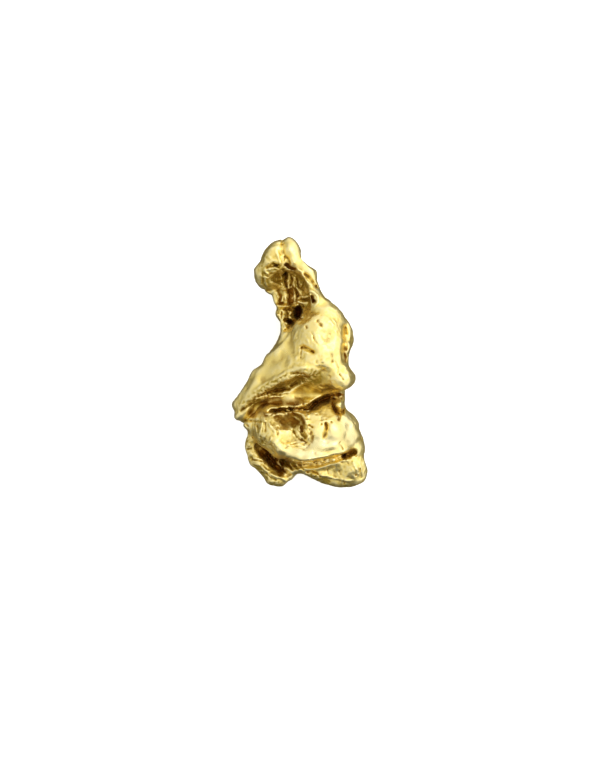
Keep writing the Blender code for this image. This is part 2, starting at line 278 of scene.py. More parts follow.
# %% [markdown]
# ## The head
#
# Two worn lobes lean together at the top, one bright and one dull. Below them the chin turns
# under, with a small ledge over the hollow.

# %% Features of the head
HEAD = {
    "between_lobes": (((283, 246), (283, 252), (285, 257), (288, 260), (289, 265)), 2.6, -0.10),
    "lobe_dent": (((286.5, 247.5),), 1.8, -0.035),
    "bright_sliver": (((277, 252), (279, 258), (281, 265)), 1.6, 0.07),
    "thin_ridge": (((284, 256), (284, 263)), 1.2, 0.05),
    "brown_smudge": (((279, 252), (281, 255)), 1.8, -0.05),
    "dark_spot": (((274, 265), (276, 266)), 2.4, -0.09),
    "spot_tail": (((271, 267), (275, 267), (280, 265)), 1.3, -0.05),
    "chin_top_ridge": (((266, 271), (271, 269.5), (276, 269), (281, 271)), 1.8, 0.07),
    "chin_facet": (((273, 276), (279, 276)), 4.2, -0.07),
    "chin_streak": (((266, 273), (269, 275)), 1.2, 0.06),
    "chin_streak_shade": (((264, 276), (269, 277)), 1.5, -0.06),
    "chin_wall": (((264, 274), (263.5, 284), (267, 289), (271, 291)), 2.2, -0.06),
    "chin_rib": (((266, 280), (267, 285)), 1.3, 0.05),
    "ledge_left": (((273, 283), (277, 284.5), (281, 286)), 1.7, 0.11),
    "ledge_right": (((282.5, 283.5), (284, 286), (286.5, 289.5)), 1.4, 0.11),
    "ledge_gap": (((281.5, 287),), 1.5, -0.09),
    "ledge_shade": (((277, 281), (283, 281)), 1.6, -0.06),
    "left_lobe_dent": (((267, 255), (268, 259)), 3.4, -0.03),
    "left_lobe_swell": (((272, 250), (271, 258)), 3.6, 0.03),
    "left_lobe_speck": (((263, 267),), 1.3, -0.03),
}
print("the head:", len(HEAD), "features")

# %% [markdown]
# ## The hollow of the neck
#
# Thin folds of gold stand in the hollow like crumpled foil, with a flat brown floor among them and
# a deep hole at the lower end. Its right wall is the underside of the smooth ridge.

# %% Features of the hollow
HOLLOW = {
    "top_crevice": (((287, 266), (291, 268.5), (295, 270)), 2.4, -0.22),
    "top_tip": (((294.5, 264),), 1.4, 0.05),
    "tip_left": (((287.5, 271), (290, 271), (292, 273)), 1.4, 0.16),
    "tip_right": (((293, 272), (295.5, 275.5)), 1.4, 0.16),
    "fold_1": (((283, 272), (281, 275), (282, 279)), 1.3, 0.06),
    "fold_2": (((284, 271), (286.5, 276), (285, 281), (287, 286)), 1.8, -0.13),
    "fold_3": (((288, 273), (289.5, 277), (288, 281)), 1.4, 0.09),
    "fold_4": (((291, 275), (292.5, 280), (290.5, 285)), 1.6, -0.11),
    "fold_5": (((295, 278), (293.5, 282), (295, 286)), 1.4, 0.08),
    "fold_6": (((297, 278), (299, 286), (303, 290)), 1.4, -0.08),
    "right_rib": (((297, 270), (302, 273), (303.5, 278), (308, 284)), 1.7, 0.10),
    "right_rib_end": (((305, 281), (309, 285)), 1.4, 0.07),
    "right_wall": (((305, 275), (310, 279), (314, 285), (316.5, 288)), 2.2, -0.12),
    "wall_spot": (((316, 287.5), (319, 290)), 1.7, -0.10),
    "dark_link": (((304, 282), (302, 287)), 1.4, -0.08),
    "flat_floor": (((291, 291), (291.5, 300)), 5.2, -0.07),
    "floor_edge_left": (((286, 289), (284.5, 294), (286, 299)), 1.6, 0.04),
    "floor_edge_right": (((296, 289), (297.5, 295), (296.5, 301)), 1.6, -0.08),
    "left_fold_a": (((279, 291), (281.5, 296), (280, 301)), 1.5, -0.05),
    "left_fold_b": (((277, 293), (279, 297)), 1.5, 0.04),
    "left_fold_c": (((283, 296), (282, 301)), 1.3, 0.03),
    "bright_worm": (((297, 287), (299, 290), (300.5, 293), (302, 296)), 1.2, 0.13),
    "worm_shade": (((297.5, 292), (298, 296)), 1.3, -0.08),
    "green_facet": (((305.5, 290), (307, 292)), 3.2, 0.05),
    "green_rim": (((310, 292), (314, 293.5), (317.5, 297), (318, 303), (314, 307)), 1.7, 0.11),
    "ledge_line": (((299, 296.5), (305, 297), (310, 296)), 1.4, 0.08),
    "ledge_line_shade": (((299, 299), (308, 299.5)), 1.2, -0.10),
    "right_bar": (((297.5, 301), (302, 302.5), (307, 302.5)), 1.6, 0.16),
    "right_pocket": (((312, 298), (313, 302)), 2.9, -0.15),
    "bead_a": (((298, 305),), 1.7, 0.12),
    "bead_b": (((300.5, 308),), 1.6, 0.12),
    "bead_hole": (((303.5, 306.5),), 1.9, -0.20),
    "deep_hole": (((299, 310), (298.5, 314), (299, 318)), 3.4, -0.30),
    "long_bar": (((277, 305), (283, 306), (293, 306.5)), 1.7, 0.17),
    "long_bar_shade": (((284, 309.5), (294, 309.5)), 1.5, -0.10),
    "bar_red_gap": (((280.5, 303), (283, 303)), 1.4, -0.08),
    "left_lump_a": (((277.5, 315),), 2.4, 0.09),
    "left_lump_b": (((284.5, 316),), 2.0, 0.12),
    "left_lump_gap": (((281.5, 312), (281.5, 318)), 1.3, -0.07),
    "mid_lump_a": (((292, 312),), 2.2, 0.09),
    "mid_lump_b": (((292, 317),), 2.2, 0.08),
    "mid_gap": (((288, 311), (288, 319)), 1.5, -0.14),
    "bottom_v": (((285, 320), (289, 321.5), (295, 320.5)), 2.3, -0.24),
    "bottom_v_tail": (((290, 321), (289, 326)), 2.1, -0.22),
    "v_lip_right": (((297, 320), (294, 324), (291, 328.5)), 1.5, 0.09),
    "v_lip_left": (((284, 324), (286, 328)), 1.4, 0.06),
    "slope_line_a": (((306, 309), (304, 316), (303, 324)), 1.2, -0.025),
    "slope_line_b": (((309, 311), (307, 318), (306, 324)), 1.2, 0.025),
    "outline_notch_a": (((279, 320),), 1.7, -0.08),
    "outline_notch_b": (((276.5, 310),), 1.6, -0.06),
}
print("the hollow:", len(HOLLOW), "features")

# %% [markdown]
# ## The body
#
# One broad flat facet faces up and left, as if the nugget had been pressed against a stone. It
# ends at the brow, a rough step that falls to a smooth ledge over the crevice. The right half is
# worn round and is full of pits.

# %% Features of the body
BODY = {
    "facet_rim": (((281, 336), (277, 345), (271, 353)), 1.6, -0.03),
    "neck_streak": (((283, 333), (286, 329.5), (289, 328)), 1.6, -0.12),
    "facet_mark": (((273.5, 350), (273.5, 358)), 1.2, -0.02),
    "facet_border": (((293, 336), (296, 350), (297, 362)), 2.0, 0.02),
    "pit_a": (((307, 328.5),), 2.2, -0.15),
    "pit_b": (((317, 322), (319, 325), (321, 327.5)), 1.8, -0.09),
    "pit_c": (((300, 357.5),), 1.8, -0.10),
    "pit_d": (((301, 350), (300, 356)), 1.1, -0.05),
    "groove_a": (((311, 333), (313, 337), (314, 341)), 1.2, -0.05),
    "groove_b": (((315, 342), (318, 346)), 1.2, -0.04),
    "groove_c": (((295, 341), (298, 339)), 1.2, -0.04),
    "crack": (((301, 348.5), (304, 349.5), (308, 350), (313, 353)), 1.6, -0.15),
    "crack_lip": (((303, 352.5), (308, 353.5)), 1.4, 0.04),
    "right_pit_a": (((345, 328), (346, 333), (349, 336)), 1.6, -0.05),
    "right_pit_b": (((343, 346), (345, 350)), 1.8, -0.05),
    "right_pit_c": (((343, 354), (345, 358), (345, 361.5)), 2.0, -0.06),
    "right_rib_a": (((347, 350), (348, 356)), 1.5, 0.05),
    "speck_a": (((346, 342.5),), 1.4, -0.06),
    "olive_streak": (((331, 355), (332, 362)), 1.5, -0.07),
    "cheek_scratch": (((338, 368),), 1.2, -0.05),
    "cheek_crack": (((338.5, 375), (342, 380)), 1.2, -0.07),
    "cheek_scar": (((334, 362), (337, 368), (336, 378)), 1.3, -0.03),
    "cheek_flat": (((345, 366), (346, 378)), 4.0, 0.03),
    "cheek_nick": (((351, 383), (348, 387)), 1.8, -0.08),
    "top_dent_a": (((322, 335), (326, 342)), 5.0, -0.04),
    "top_dent_b": (((318, 362), (322, 372)), 5.0, -0.04),
    "top_dent_c": (((332, 322), (336, 332)), 4.2, 0.035),
    "top_ridge": (((306, 338), (309, 346)), 2.4, 0.03),
}
print("the body:", len(BODY), "features")

# %% [markdown]
# ## The brow, the ledge and the crevice
#
# Below the facet's edge the gold is rough and dull, because nothing could rub it there. The step
# ends on a smooth ledge, and under the ledge the nugget is nearly split by a dark crevice.

# %% Features of the brow, the ledge and the crevice
BROW = {
    "brow_edge": (((256, 391), (265, 384), (275, 379), (286, 373), (294, 369), (305, 368)), 2.4, 0.05),
    "brow_foot": (((241, 411), (250, 405), (256, 398), (270, 392), (279, 390), (289, 389)), 2.2, -0.12),
    "brow_spot": (((292, 374), (299, 373), (309, 377)), 2.4, -0.12),
    "brow_spot_b": (((291, 386), (297, 383)), 1.8, -0.10),
    "brow_bead_a": (((264, 388),), 1.6, 0.08),
    "brow_bead_b": (((280, 381), (283, 379)), 1.6, 0.06),
    "brow_bead_c": (((300, 380), (302, 384)), 1.8, 0.05),
    "brow_bead_d": (((266, 394), (268, 397)), 1.4, 0.06),
    "brow_bead_e": (((252, 402), (254, 400)), 1.4, 0.05),
    "brow_line_a": (((271, 393), (277, 395.5)), 1.4, -0.04),
    "brow_line_b": (((280, 395), (288, 394)), 1.4, -0.04),
    "ledge_bright": (((272, 397), (276, 396), (282, 397)), 2.0, 0.05),
    "ledge_flat": (((306, 390), (320, 388)), 6.0, 0.03),
    "ledge_step": (((296, 397.5), (302, 398.5), (303.5, 402), (302, 407)), 1.8, -0.06),
    "ledge_step_lip": (((304.5, 399), (305, 405)), 1.4, 0.03),
    "ledge_edge": (((305, 400), (312, 400), (320, 396)), 1.6, 0.05),
    "ledge_spot": (((320, 386), (323, 388)), 1.8, -0.09),
    "brown_dip": (((276, 404), (296, 403)), 5.5, -0.03),
    "crevice_left": (((266, 416), (271, 412), (278, 410.5), (290, 409)), 2.0, -0.03),
    "crevice_mid": (((290, 409), (299, 408), (309, 407.5), (316, 403)), 2.4, -0.15),
    "crevice_right": (((316, 403), (322, 400), (330, 397), (339, 395)), 2.6, -0.24),
    "tip_bead_a": (((257, 402),), 1.4, 0.06),
    "tip_bead_b": (((262, 402.5), (267, 403)), 1.4, -0.07),
    "tip_line": (((244, 409), (248, 406), (255, 403)), 1.7, -0.06),
    "gold_bowl": (((252, 413), (259, 412)), 4.0, -0.06),
    "gold_lip": (((250, 418.5), (259, 418.5)), 1.5, 0.04),
    "under_line": (((243, 420), (252, 421.5), (262, 421.5)), 1.7, -0.09),
}
print("the brow and the crevice:", len(BROW), "features")

# %% [markdown]
# ## The belly
#
# The belly swells up below the crevice. It has a rough bowl near its middle, with a fold at the
# bowl's end that looks like an ear, and a bead at the right that sits in a ring of shade.

# %% Features of the belly
BELLY = {
    "tip_of_left": (((264, 418), (266, 421)), 2.0, 0.09),
    "left_rib_a": (((263, 421), (262.5, 427), (261, 434)), 1.6, 0.07),
    "left_rut_a": (((266.5, 422), (266, 431)), 1.4, -0.06),
    "left_rut_b": (((258.5, 424), (258, 432)), 1.6, -0.07),
    "left_rib_b": (((270, 423), (273, 428), (277, 431)), 1.6, 0.07),
    "left_rib_c": (((255, 426), (254, 430)), 1.6, 0.04),
    "left_rut_c": (((269, 433), (265, 441)), 1.5, -0.05),
    "left_rib_d": (((272, 437), (268, 445)), 1.7, 0.05),
    "left_rut_d": (((262, 436), (263, 444)), 1.6, -0.05),
    "bowl_top": (((269, 416), (276, 412), (285, 412), (292, 413.5), (300, 417), (304, 422)), 2.4, -0.08),
    "bowl_floor_a": (((276, 417), (282, 421), (286, 427)), 3.4, -0.05),
    "bowl_floor_b": (((291, 419), (297, 422), (301, 427)), 3.2, -0.05),
    "bowl_floor_rib": (((284, 416), (289, 421), (292, 428)), 2.2, 0.05),
    "bowl_rib": (((287, 408), (287.5, 414)), 1.4, 0.14),
    "bowl_hole": (((292.5, 411.5),), 1.8, -0.14),
    "bowl_rim_a": (((303, 410), (308, 414), (308, 420)), 1.8, 0.07),
    "bowl_rim_b": (((305, 420), (306, 427)), 1.4, 0.05),
    "bowl_pit": (((278.5, 427), (278, 434)), 1.6, -0.12),
    "bowl_pit_lip": (((275, 427), (276, 433)), 1.2, 0.06),
    "ear_pit": (((301.5, 427), (302.5, 431)), 1.8, -0.16),
    "ear_pit_lip": (((299.5, 426), (299.5, 430)), 1.2, 0.08),
    "ear_rim": (((297, 431), (301, 436), (306, 440), (308.5, 436), (305, 430)), 1.4, 0.06),
    "ear_shade": (((294, 431), (297, 437), (303, 441)), 1.4, -0.09),
    "ear_back": (((309.5, 429), (312.5, 436), (312, 442)), 1.8, -0.09),
    "ear_lobe": (((290, 446), (297, 444.5), (305, 446), (309, 442)), 1.6, 0.09),
    "ear_line": (((286, 448), (292, 444), (299, 442)), 1.2, -0.07),
    "ear_red": (((302, 439), (306, 442)), 1.5, -0.08),
    "pit_e": (((309, 425), (312, 427)), 1.5, -0.08),
    "pit_f": (((321.5, 424),), 1.6, -0.08),
    "pit_g": (((330.5, 421.5),), 1.8, -0.08),
    "pit_h": (((316, 414),), 1.4, -0.05),
    "pit_i": (((325, 418),), 1.4, -0.04),
    "streak_a": (((325, 423), (326.5, 428), (325, 432), (323.5, 436)), 1.7, -0.12),
    "streak_b": (((328, 429), (328.5, 432)), 1.1, -0.05),
    "nodule_ring": (((331.5, 400), (333, 407), (337, 413), (342, 411), (345, 408)), 1.9, -0.16),
    "nodule_top": (((338.5, 404.5), (339, 407)), 4.2, 0.15),
    "nodule_speck": (((341, 402.5),), 1.2, -0.07),
    "nodule_tail": (((338, 414), (338, 419)), 1.8, -0.10),
    "belly_rim_pits": (((308, 413), (312, 409)), 1.4, -0.06),
    "rim_gold": (((316, 408), (322, 405), (330, 402)), 1.8, 0.05),
    "upper_ruts": (((318, 406), (320, 412), (321, 420)), 1.2, -0.035),
    "right_line": (((339, 442), (342, 449)), 1.4, -0.06),
    "low_rut_a": (((313, 450), (316, 455)), 1.3, -0.03),
    "low_rut_b": (((310.5, 457), (310.5, 463)), 1.2, -0.09),
    "low_rut_c": (((303, 459), (304, 464)), 1.2, -0.05),
    "left_edge_pit": (((253.5, 431), (254, 438)), 1.7, -0.12),
    "left_edge_bits": (((246, 424), (249, 426)), 1.5, -0.07),
    "under_ear_a": (((282, 452), (286, 456)), 1.5, -0.05),
    "under_ear_b": (((277, 448), (274, 444)), 1.4, -0.04),
    "under_ear_c": (((290, 452), (286, 458)), 1.5, 0.04),
}
print("the belly:", len(BELLY), "features")

# %% [markdown]
# ## The curl and the foot
#
# A strand curls round the lower left and leaves a dark pocket between itself and the belly. On the
# right a flat foot comes out from under the belly's edge.

# %% Features of the curl and the foot
FEET = {
    "overhang": (((262, 444), (271, 452), (277, 457), (282, 463), (285, 469)), 1.6, 0.06),
    "overhang_line": (((269, 453), (275, 458), (279, 464)), 1.2, -0.07),
    "pocket_deep": (((268, 456), (274, 462), (279, 470)), 3.6, -0.16),
    "curl_swell_a": (((250.5, 445),), 2.6, 0.05),
    "curl_gap_a": (((249, 450), (253, 450)), 1.5, -0.06),
    "curl_swell_b": (((252, 455),), 2.6, 0.04),
    "curl_gap_b": (((253, 460), (262, 461.5)), 1.6, -0.12),
    "curl_step": (((256, 464), (260, 465)), 2.0, 0.06),
    "curl_bright": (((263, 467), (267, 472)), 1.8, 0.08),
    "curl_gap_c": (((266, 475), (270, 479), (276, 482)), 1.5, -0.06),
    "curl_facet": (((272, 475), (280, 480), (285, 482)), 2.4, 0.07),
    "curl_rim": (((276, 485), (284, 486)), 1.6, 0.02),
    "curl_end_hole": (((287, 478), (290, 476)), 2.2, -0.16),
    "curl_end_rut": (((283, 471), (287, 475)), 1.4, -0.10),
    "fold_pocket": (((283, 465), (288, 466), (292, 470)), 3.0, -0.20),
    "fold_rib": (((297, 465), (299.5, 470)), 1.5, 0.10),
    "fold_rib_b": (((290, 463), (293, 468)), 1.2, 0.07),
    "fold_dark": (((301, 467), (304, 470)), 1.6, -0.08),
    "foot_line_a": (((298, 465), (308, 464.5), (316, 463)), 1.8, -0.10),
    "foot_line_b": (((338, 458), (341, 457), (344, 455)), 2.0, -0.06),
    "foot_hole_a": (((343.5, 455.5), (345, 454)), 2.3, -0.08),
    "foot_hole_b": (((348.5, 457),), 2.0, -0.14),
    "foot_line_c": (((346, 453), (352, 451.5), (355, 456)), 1.7, -0.09),
    "foot_rib": (((336, 462), (346, 460)), 1.6, 0.05),
    "foot_edge": (((318, 475), (330, 477.5), (343, 481), (352, 481)), 2.0, 0.05),
    "foot_bead": (((313, 474.5),), 2.3, 0.12),
    "foot_bead_ring": (((307, 472.5), (311.5, 470.5), (316.5, 472), (320, 477)), 1.5, -0.14),
    "foot_pit_a": (((347, 463),), 1.5, -0.07),
    "foot_pit_b": (((338, 472), (340, 475)), 1.4, -0.06),
    "foot_pit_c": (((355, 475),), 1.6, -0.07),
    "foot_pit_d": (((359, 469), (360, 478)), 1.8, -0.09),
    "foot_pit_e": (((327, 470), (328, 474)), 1.2, -0.05),
    "foot_pit_f": (((350, 470),), 1.5, -0.05),
    "foot_pit_g": (((343, 481), (344, 484)), 1.4, -0.07),
    "foot_rib_b": (((352, 462), (356, 470)), 1.8, 0.05),
    "foot_swell": (((325, 467), (335, 468)), 3.5, 0.03),
}
print("the curl and the foot:", len(FEET), "features")

# %% [markdown]
# ## Broad changes
#
# Some places are too steep, too deep or too flat over a wide stretch. They are raised or sunk by
# wide strokes with no noise in them, because noise on a wide stroke would leave lumps. The strokes
# of the belly's edge work only above a height, so that the foot below isn't lifted too.

# %% Broad changes, carved evenly
BELLY_EDGE = {
    "low_edge": (((284, 455), (306, 457), (326, 456), (342, 452)), 14, 0.25),
    "low_left": (((276, 446), (288, 454), (304, 457)), 12, 0.24),
    "front": (((292, 447), (308, 449), (330, 446)), 9, 0.06),
}
BELLY_HEIGHT = 1.5, 1.8  # in mm: what lies lower, such as the foot, isn't lifted with the belly
CRUMBS = (
    # crumbs of gold along the line between belly and foot: where, half the width, and the rise
    (((302, 463),), 3.4, 0.13),
    (((311, 461), (314, 464)), 3.4, 0.14),
    (((322, 460),), 3.4, 0.10),
    (((331, 458), (333, 460)), 3.0, 0.12),
    (((339.5, 456.5), (341, 459)), 3.2, 0.13),
)
SHELVES = {
    "under_ledge": (((270, 412), (284, 411), (298, 410)), 6, 0.13),
    "foot_line_filling": (((303, 463), (313, 462), (324, 460.5), (333, 459)), 9.5, 0.25),
    **{f"crumb_{number}": crumb for number, crumb in enumerate(CRUMBS)},
    "bowl": (((279, 420), (290, 421), (298, 426)), 11, -0.11),
    "facet_top": (((282, 338), (276, 350)), 13, 0.20),
}
print("broad strokes:", len(BELLY_EDGE) + len(SHELVES))

# %% [markdown]
# ## Leaning the edges in or out
#
# The solid's outline strays from the photograph's by up to eight pixels in a few places. A sculptor
# would press the clay sideways there with a thumb. Each push has the line that it works along, how
# far it reaches and which way it moves the surface, all in pixels. It comes before the carving, so
# that the creases land where the photograph has them.

# %% Press the edges sideways
PUSHES = {
    "left_lobe": (((273, 238), (265, 242), (258, 251), (256, 258)), 13, (4.8, 1.0)),
    "ridge_shoulder": (((309, 257), (314, 263)), 9, (-6.5, 1.5)),
    "chin_corner": (((271, 290),), 6, (-4.5, 1.0)),
    "facet_edge": (((278, 337), (266, 351), (252, 366), (243, 384), (236, 397)), 11, (2.4, 1.5)),
    "body_side": (((351, 355), (352, 367)), 9, (-2.4, 0.0)),
    "under_the_tip": (((239, 418), (245, 424)), 9, (-3.6, 1.2)),
    "belly_side": (((352, 411), (361, 419), (363, 427)), 11, (-5.0, 0.0)),
    "curl_side": (((256, 471), (262, 479)), 8, (2.5, -1.0)),
}


def pushed(points):
    """Each push moves what is near its line by its shift times a rounded fall, at all heights."""
    moved = points.copy()
    for pixels, reach, (right, down) in PUSHES.values():
        away = distance_to_line(points[:, :2], over_ground(pixels))
        fall = rounded_fall(away, reach / PIXELS_PER_MM)
        moved[:, :2] += fall[:, None] * np.array((right, -down)) / PIXELS_PER_MM
    return moved


write_points(pushed(read_points()))
print("pressed the outline in", len(PUSHES), "places")

# %% [markdown]
# ## Carving it all
#
# Every feature adds its rise, and the sum moves the points up or down in one go. What a later
# feature does to an earlier one can't matter then, and the order of the lists is free.

# %% Carve them all
shape = read_points()
looks_up = np.clip(read_normals()[:, 2] / FULL_SLOPE, 0, 1)
REGIONS = (
    # what is carved, how strongly, and how unevenly along each line
    (HEAD, 1.0, 0.7),
    (HOLLOW, 1.2, 0.55),
    (BODY, 1.0, 0.9),
    (BROW, 1.0, 0.6),
    (BELLY, 1.0, 0.7),
    (FEET, 1.0, 0.6),
    (SHELVES, 1.0, 0.0),
)


def carved_rise(points):
    """The rise of all regions, and of the belly's edge where the point is high enough to be on it."""
    total = sum(strength * rise_of(points, features, uneven) for features, strength, uneven in REGIONS)
    return total + rise_of(points, BELLY_EDGE, 0.0) * smooth_step(points[:, 2], *BELLY_HEIGHT)


shape[:, 2] += carved_rise(shape) * looks_up
print("carved", sum(len(region[0]) for region in REGIONS) + len(BELLY_EDGE), "features")
write_points(shape)

# %% [markdown]
# ## Rough and smooth places
#
# Wear leaves the high parts smooth, and the brow, the hollows and the back rough. A map over the
# ground says how rough each place is, from strokes like those above, and noise of several sizes is
# scaled by it.

# %% How rough each place is
ROUGH = {
    "brow": (((244, 407), (256, 398), (268, 389), (282, 382), (296, 377), (312, 376)), 9, 1.5),
    "hollow": (((284, 276), (294, 290), (300, 308), (288, 318)), 15, 0.3),
    "bowl": (((276, 418), (290, 422), (302, 436)), 13, 0.9),
    "belly_left": (((252, 424), (262, 436), (270, 446)), 12, 0.8),
    "curl": (((248, 444), (254, 462), (276, 482)), 9, 0.6),
    "fold": (((284, 466), (300, 466), (320, 462), (345, 456)), 7, 0.9),
    "foot": (((340, 470), (358, 468), (350, 480)), 12, 0.5),
    "mottled": (((294, 336), (300, 352), (299, 368)), 7, 0.5),
    "chin": (((268, 272), (276, 284)), 9, 0.5),
}
SMOOTH = {
    "facet": (((284, 346), (268, 368), (250, 392)), 17, 0.9),
    "body_top": (((312, 312), (322, 330), (336, 350), (336, 372)), 14, 0.5),
    "belly_right": (((318, 440), (344, 430), (352, 446)), 16, 0.6),
    "belly_low": (((286, 452), (306, 452), (330, 448)), 8, 0.6),
    "right_lobe": (((288, 246), (297, 258), (308, 270), (318, 288), (324, 302)), 8, 0.7),
    "ledge": (((300, 392), (322, 390)), 8, 0.7),
    "neck_floor": (((291.5, 290), (291.5, 301)), 5, 0.7),
    "tip": (((238, 400), (240, 408)), 7, 0.6),
}
BASE_ROUGHNESS = 0.45
LEAST_ROUGHNESS, MOST_ROUGHNESS = 0.08, 2.4
MAP_FACING = 0.1, 0.5  # upward part of the normal from where a map counts, and where it counts fully


def place_map(place, strokes):
    """The sum of the strokes, each falling from its strength to nothing at its half width."""
    total = np.zeros(len(place))
    for pixels, half_width, strength in strokes.values():
        away = distance_to_line(place, over_ground(pixels))
        total += strength * rounded_fall(away, half_width / PIXELS_PER_MM)
    return total


def roughness_of(points, upward):
    """The base roughness, more where a rough stroke lies and less where a smooth one does. The
    strokes count only where the surface looks up."""
    change = place_map(points[:, :2], ROUGH) - BASE_ROUGHNESS * place_map(points[:, :2], SMOOTH)
    change *= smooth_step(upward, *MAP_FACING)
    return np.clip(BASE_ROUGHNESS + change, LEAST_ROUGHNESS, MOST_ROUGHNESS)


print("strokes for rough and smooth places:", len(ROUGH), "and", len(SMOOTH))

# %% [markdown]
# ## Relief from swells to grit
#
# The relief moves each point along its normal. Wide swells are weaker on the worn planes, but never
# gone. Sharp crests and fine grit are scaled by the roughness, so that they fade out there. A crest
# comes from noise turned over: it is highest where the noise passes through nothing.

# %% Relief of several sizes
ROLLING = ((0.50, 0.022), (0.26, 0.014))  # size of a swell and how far it rises, in mm
LEAST_ROLLING = 0.35
CRAGS = ((0.17, 0.015), (0.09, 0.008))  # ridged, scaled by the roughness
GRIT = ((0.055, 0.004),)
ROLLING_SEED, CRAG_SEED, GRIT_SEED = 20, 40, 60
CREST_FALL = 2.2  # how fast a crest falls away as the noise leaves nothing


def add_relief(points, normals, roughness):
    """Moves each point along its normal by swells, by crests and by grit. A crest is one minus a
    multiple of the noise's size."""
    rise = np.zeros(len(points))
    for seed, (wave, height) in enumerate(ROLLING, ROLLING_SEED):
        rise += height * lattice_noise(points, wave, seed) * np.clip(roughness, LEAST_ROLLING, 1)
    for seed, (wave, height) in enumerate(CRAGS, CRAG_SEED):
        crest = 1 - CREST_FALL * np.abs(lattice_noise(points, wave, seed))
        rise += height * crest * roughness
    for seed, (wave, height) in enumerate(GRIT, GRIT_SEED):
        rise += height * lattice_noise(points, wave, seed) * roughness
    return points + normals * rise[:, None]


shape = read_points()
normals = read_normals()
roughness = roughness_of(shape, normals[:, 2])
write_points(add_relief(shape, normals, roughness))
print("roughness runs from", roughness.min().round(2), "to", roughness.max().round(2))

# %% [markdown]
# ## Dents and pits from the stream
#
# Stones leave shallow round dents, and grains that fell out of the gold leave small pits. Both are
# scattered among all points by a seeded generator, and each is pressed in along the normal at its
# middle with the same rounded fall. The polish below takes them off the worn planes.

# %% Scatter dents and pits
PRESSED = (
    # how many, smallest and largest radius in mm, depth as a share of the radius
    (60, 0.25, 0.50, 0.13),
    (220, 0.10, 0.24, 0.15),
    (240, 0.035, 0.080, 0.34),
)
DENT_SEED = 31
random = np.random.default_rng(DENT_SEED)


def press(points, normals, count, smallest, largest, depth):
    """Round dents at random points: each lowers what is within its radius along its own normal."""
    for middle in random.choice(len(points), count, replace=False):
        radius = random.uniform(smallest, largest)
        near = np.flatnonzero((np.abs(points - points[middle]) < radius).all(axis=1))
        fall = rounded_fall(np.linalg.norm(points[near] - points[middle], axis=1), radius)
        points[near] -= (depth * radius * fall)[:, None] * normals[middle]
    return points


shape = read_points()
normals = read_normals()
for count, smallest, largest, depth in PRESSED:
    shape = press(shape, normals, count, smallest, largest, depth)
    print(count, "dents from", smallest, "to", largest, "mm")
write_points(shape)

# %% [markdown]
# ## Polish
#
# Rubbing rounds what is sharp. Smoothing does the same: each point moves to the mean of its
# neighbours, a little all over and many times on the worn planes and lobes.

# %% Polish the worn planes more than the rest
POLISHED = {
    "ledge": (((262, 406), (284, 403), (306, 396), (324, 390)), 9, 1.0),
    "gold_bowl": (((244, 412), (262, 412)), 7, 1.0),
    "facet": (((288, 342), (270, 366), (250, 390)), 16, 1.0),
    "belly_low": (((288, 453), (310, 456), (334, 452)), 9, 1.0),
    "belly_right": (((334, 428), (350, 436)), 13, 0.6),
    "bowl": (((277, 418), (290, 419), (299, 426)), 10, 0.6),
    "lobes": (((266, 252), (292, 250), (312, 274), (324, 304)), 9, 0.8),
}
LIGHT_ROUNDS, POLISH_ROUNDS = 2, 14


def neighbour_lists():
    """For each end of each edge, the point and its neighbour, and how many neighbours a point has."""
    edges = np.empty(len(nugget.data.edges) * 2, np.int32)
    nugget.data.edges.foreach_get("vertices", edges)
    edges = edges.reshape(-1, 2)
    own = np.concatenate([edges[:, 0], edges[:, 1]])
    other = np.concatenate([edges[:, 1], edges[:, 0]])
    return own, other, np.bincount(own, minlength=len(nugget.data.vertices))


def smoothed(values, rounds, own, other, count):
    """Each round replaces a point's values by the mean of its own and its neighbours' mean."""
    for _ in range(rounds):
        sums = [np.bincount(own, weights=column[other], minlength=len(count)) for column in values.T]
        values = (values + np.stack(sums, axis=1) / count[:, None]) / 2
    return values


lists = neighbour_lists()
shape = smoothed(read_points(), LIGHT_ROUNDS, *lists)
worn = np.clip(place_map(shape[:, :2], POLISHED), 0, 1) * smooth_step(read_normals()[:, 2], *MAP_FACING)
write_points(shape + worn[:, None] * (smoothed(shape, POLISH_ROUNDS, *lists) - shape))
print("polished", (worn > 0.5).sum(), "points of the worn planes")

# %% [markdown]
# ## Back to its size and its place
#
# The finished skin has the solid's box and lies on the same ground. The relief made it a little
# larger, so it is brought back to that box along each axis, and what is left under the ground is
# pressed flat, which gives the worn flats that the nugget rests on. Then the mesh is thinned,
# because an even mesh spends as many triangles on a smooth lobe as on a crag.

# %% Fit the skin to the box, thin it and scale it to metres
MOST_TRIANGLES = 188000
GROUND_DEPTH = 0.03  # how much of the skin is pressed flat against the ground, in mm

shape = read_points()
lowest, highest = shape.min(axis=0), shape.max(axis=0)
lowest[2] += GROUND_DEPTH
shape = low + (shape - lowest) * (high - low) / (highest - lowest)
shape[:, 2] = np.maximum(shape[:, 2], low[2])
write_points(shape)
nugget.data.calc_loop_triangles()
thin = nugget.modifiers.new("thin", "DECIMATE")
thin.ratio = min(1, MOST_TRIANGLES / len(nugget.data.loop_triangles))
bake_modifiers(nugget)
nugget.data.transform(Matrix.Scale(1 / ENLARGED, 4))
TO_MM = 1 / MM  # from here on the mesh is in metres
nugget.data.shade_smooth()
nugget.data.calc_loop_triangles()
print("the skin has", len(nugget.data.loop_triangles), "triangles")
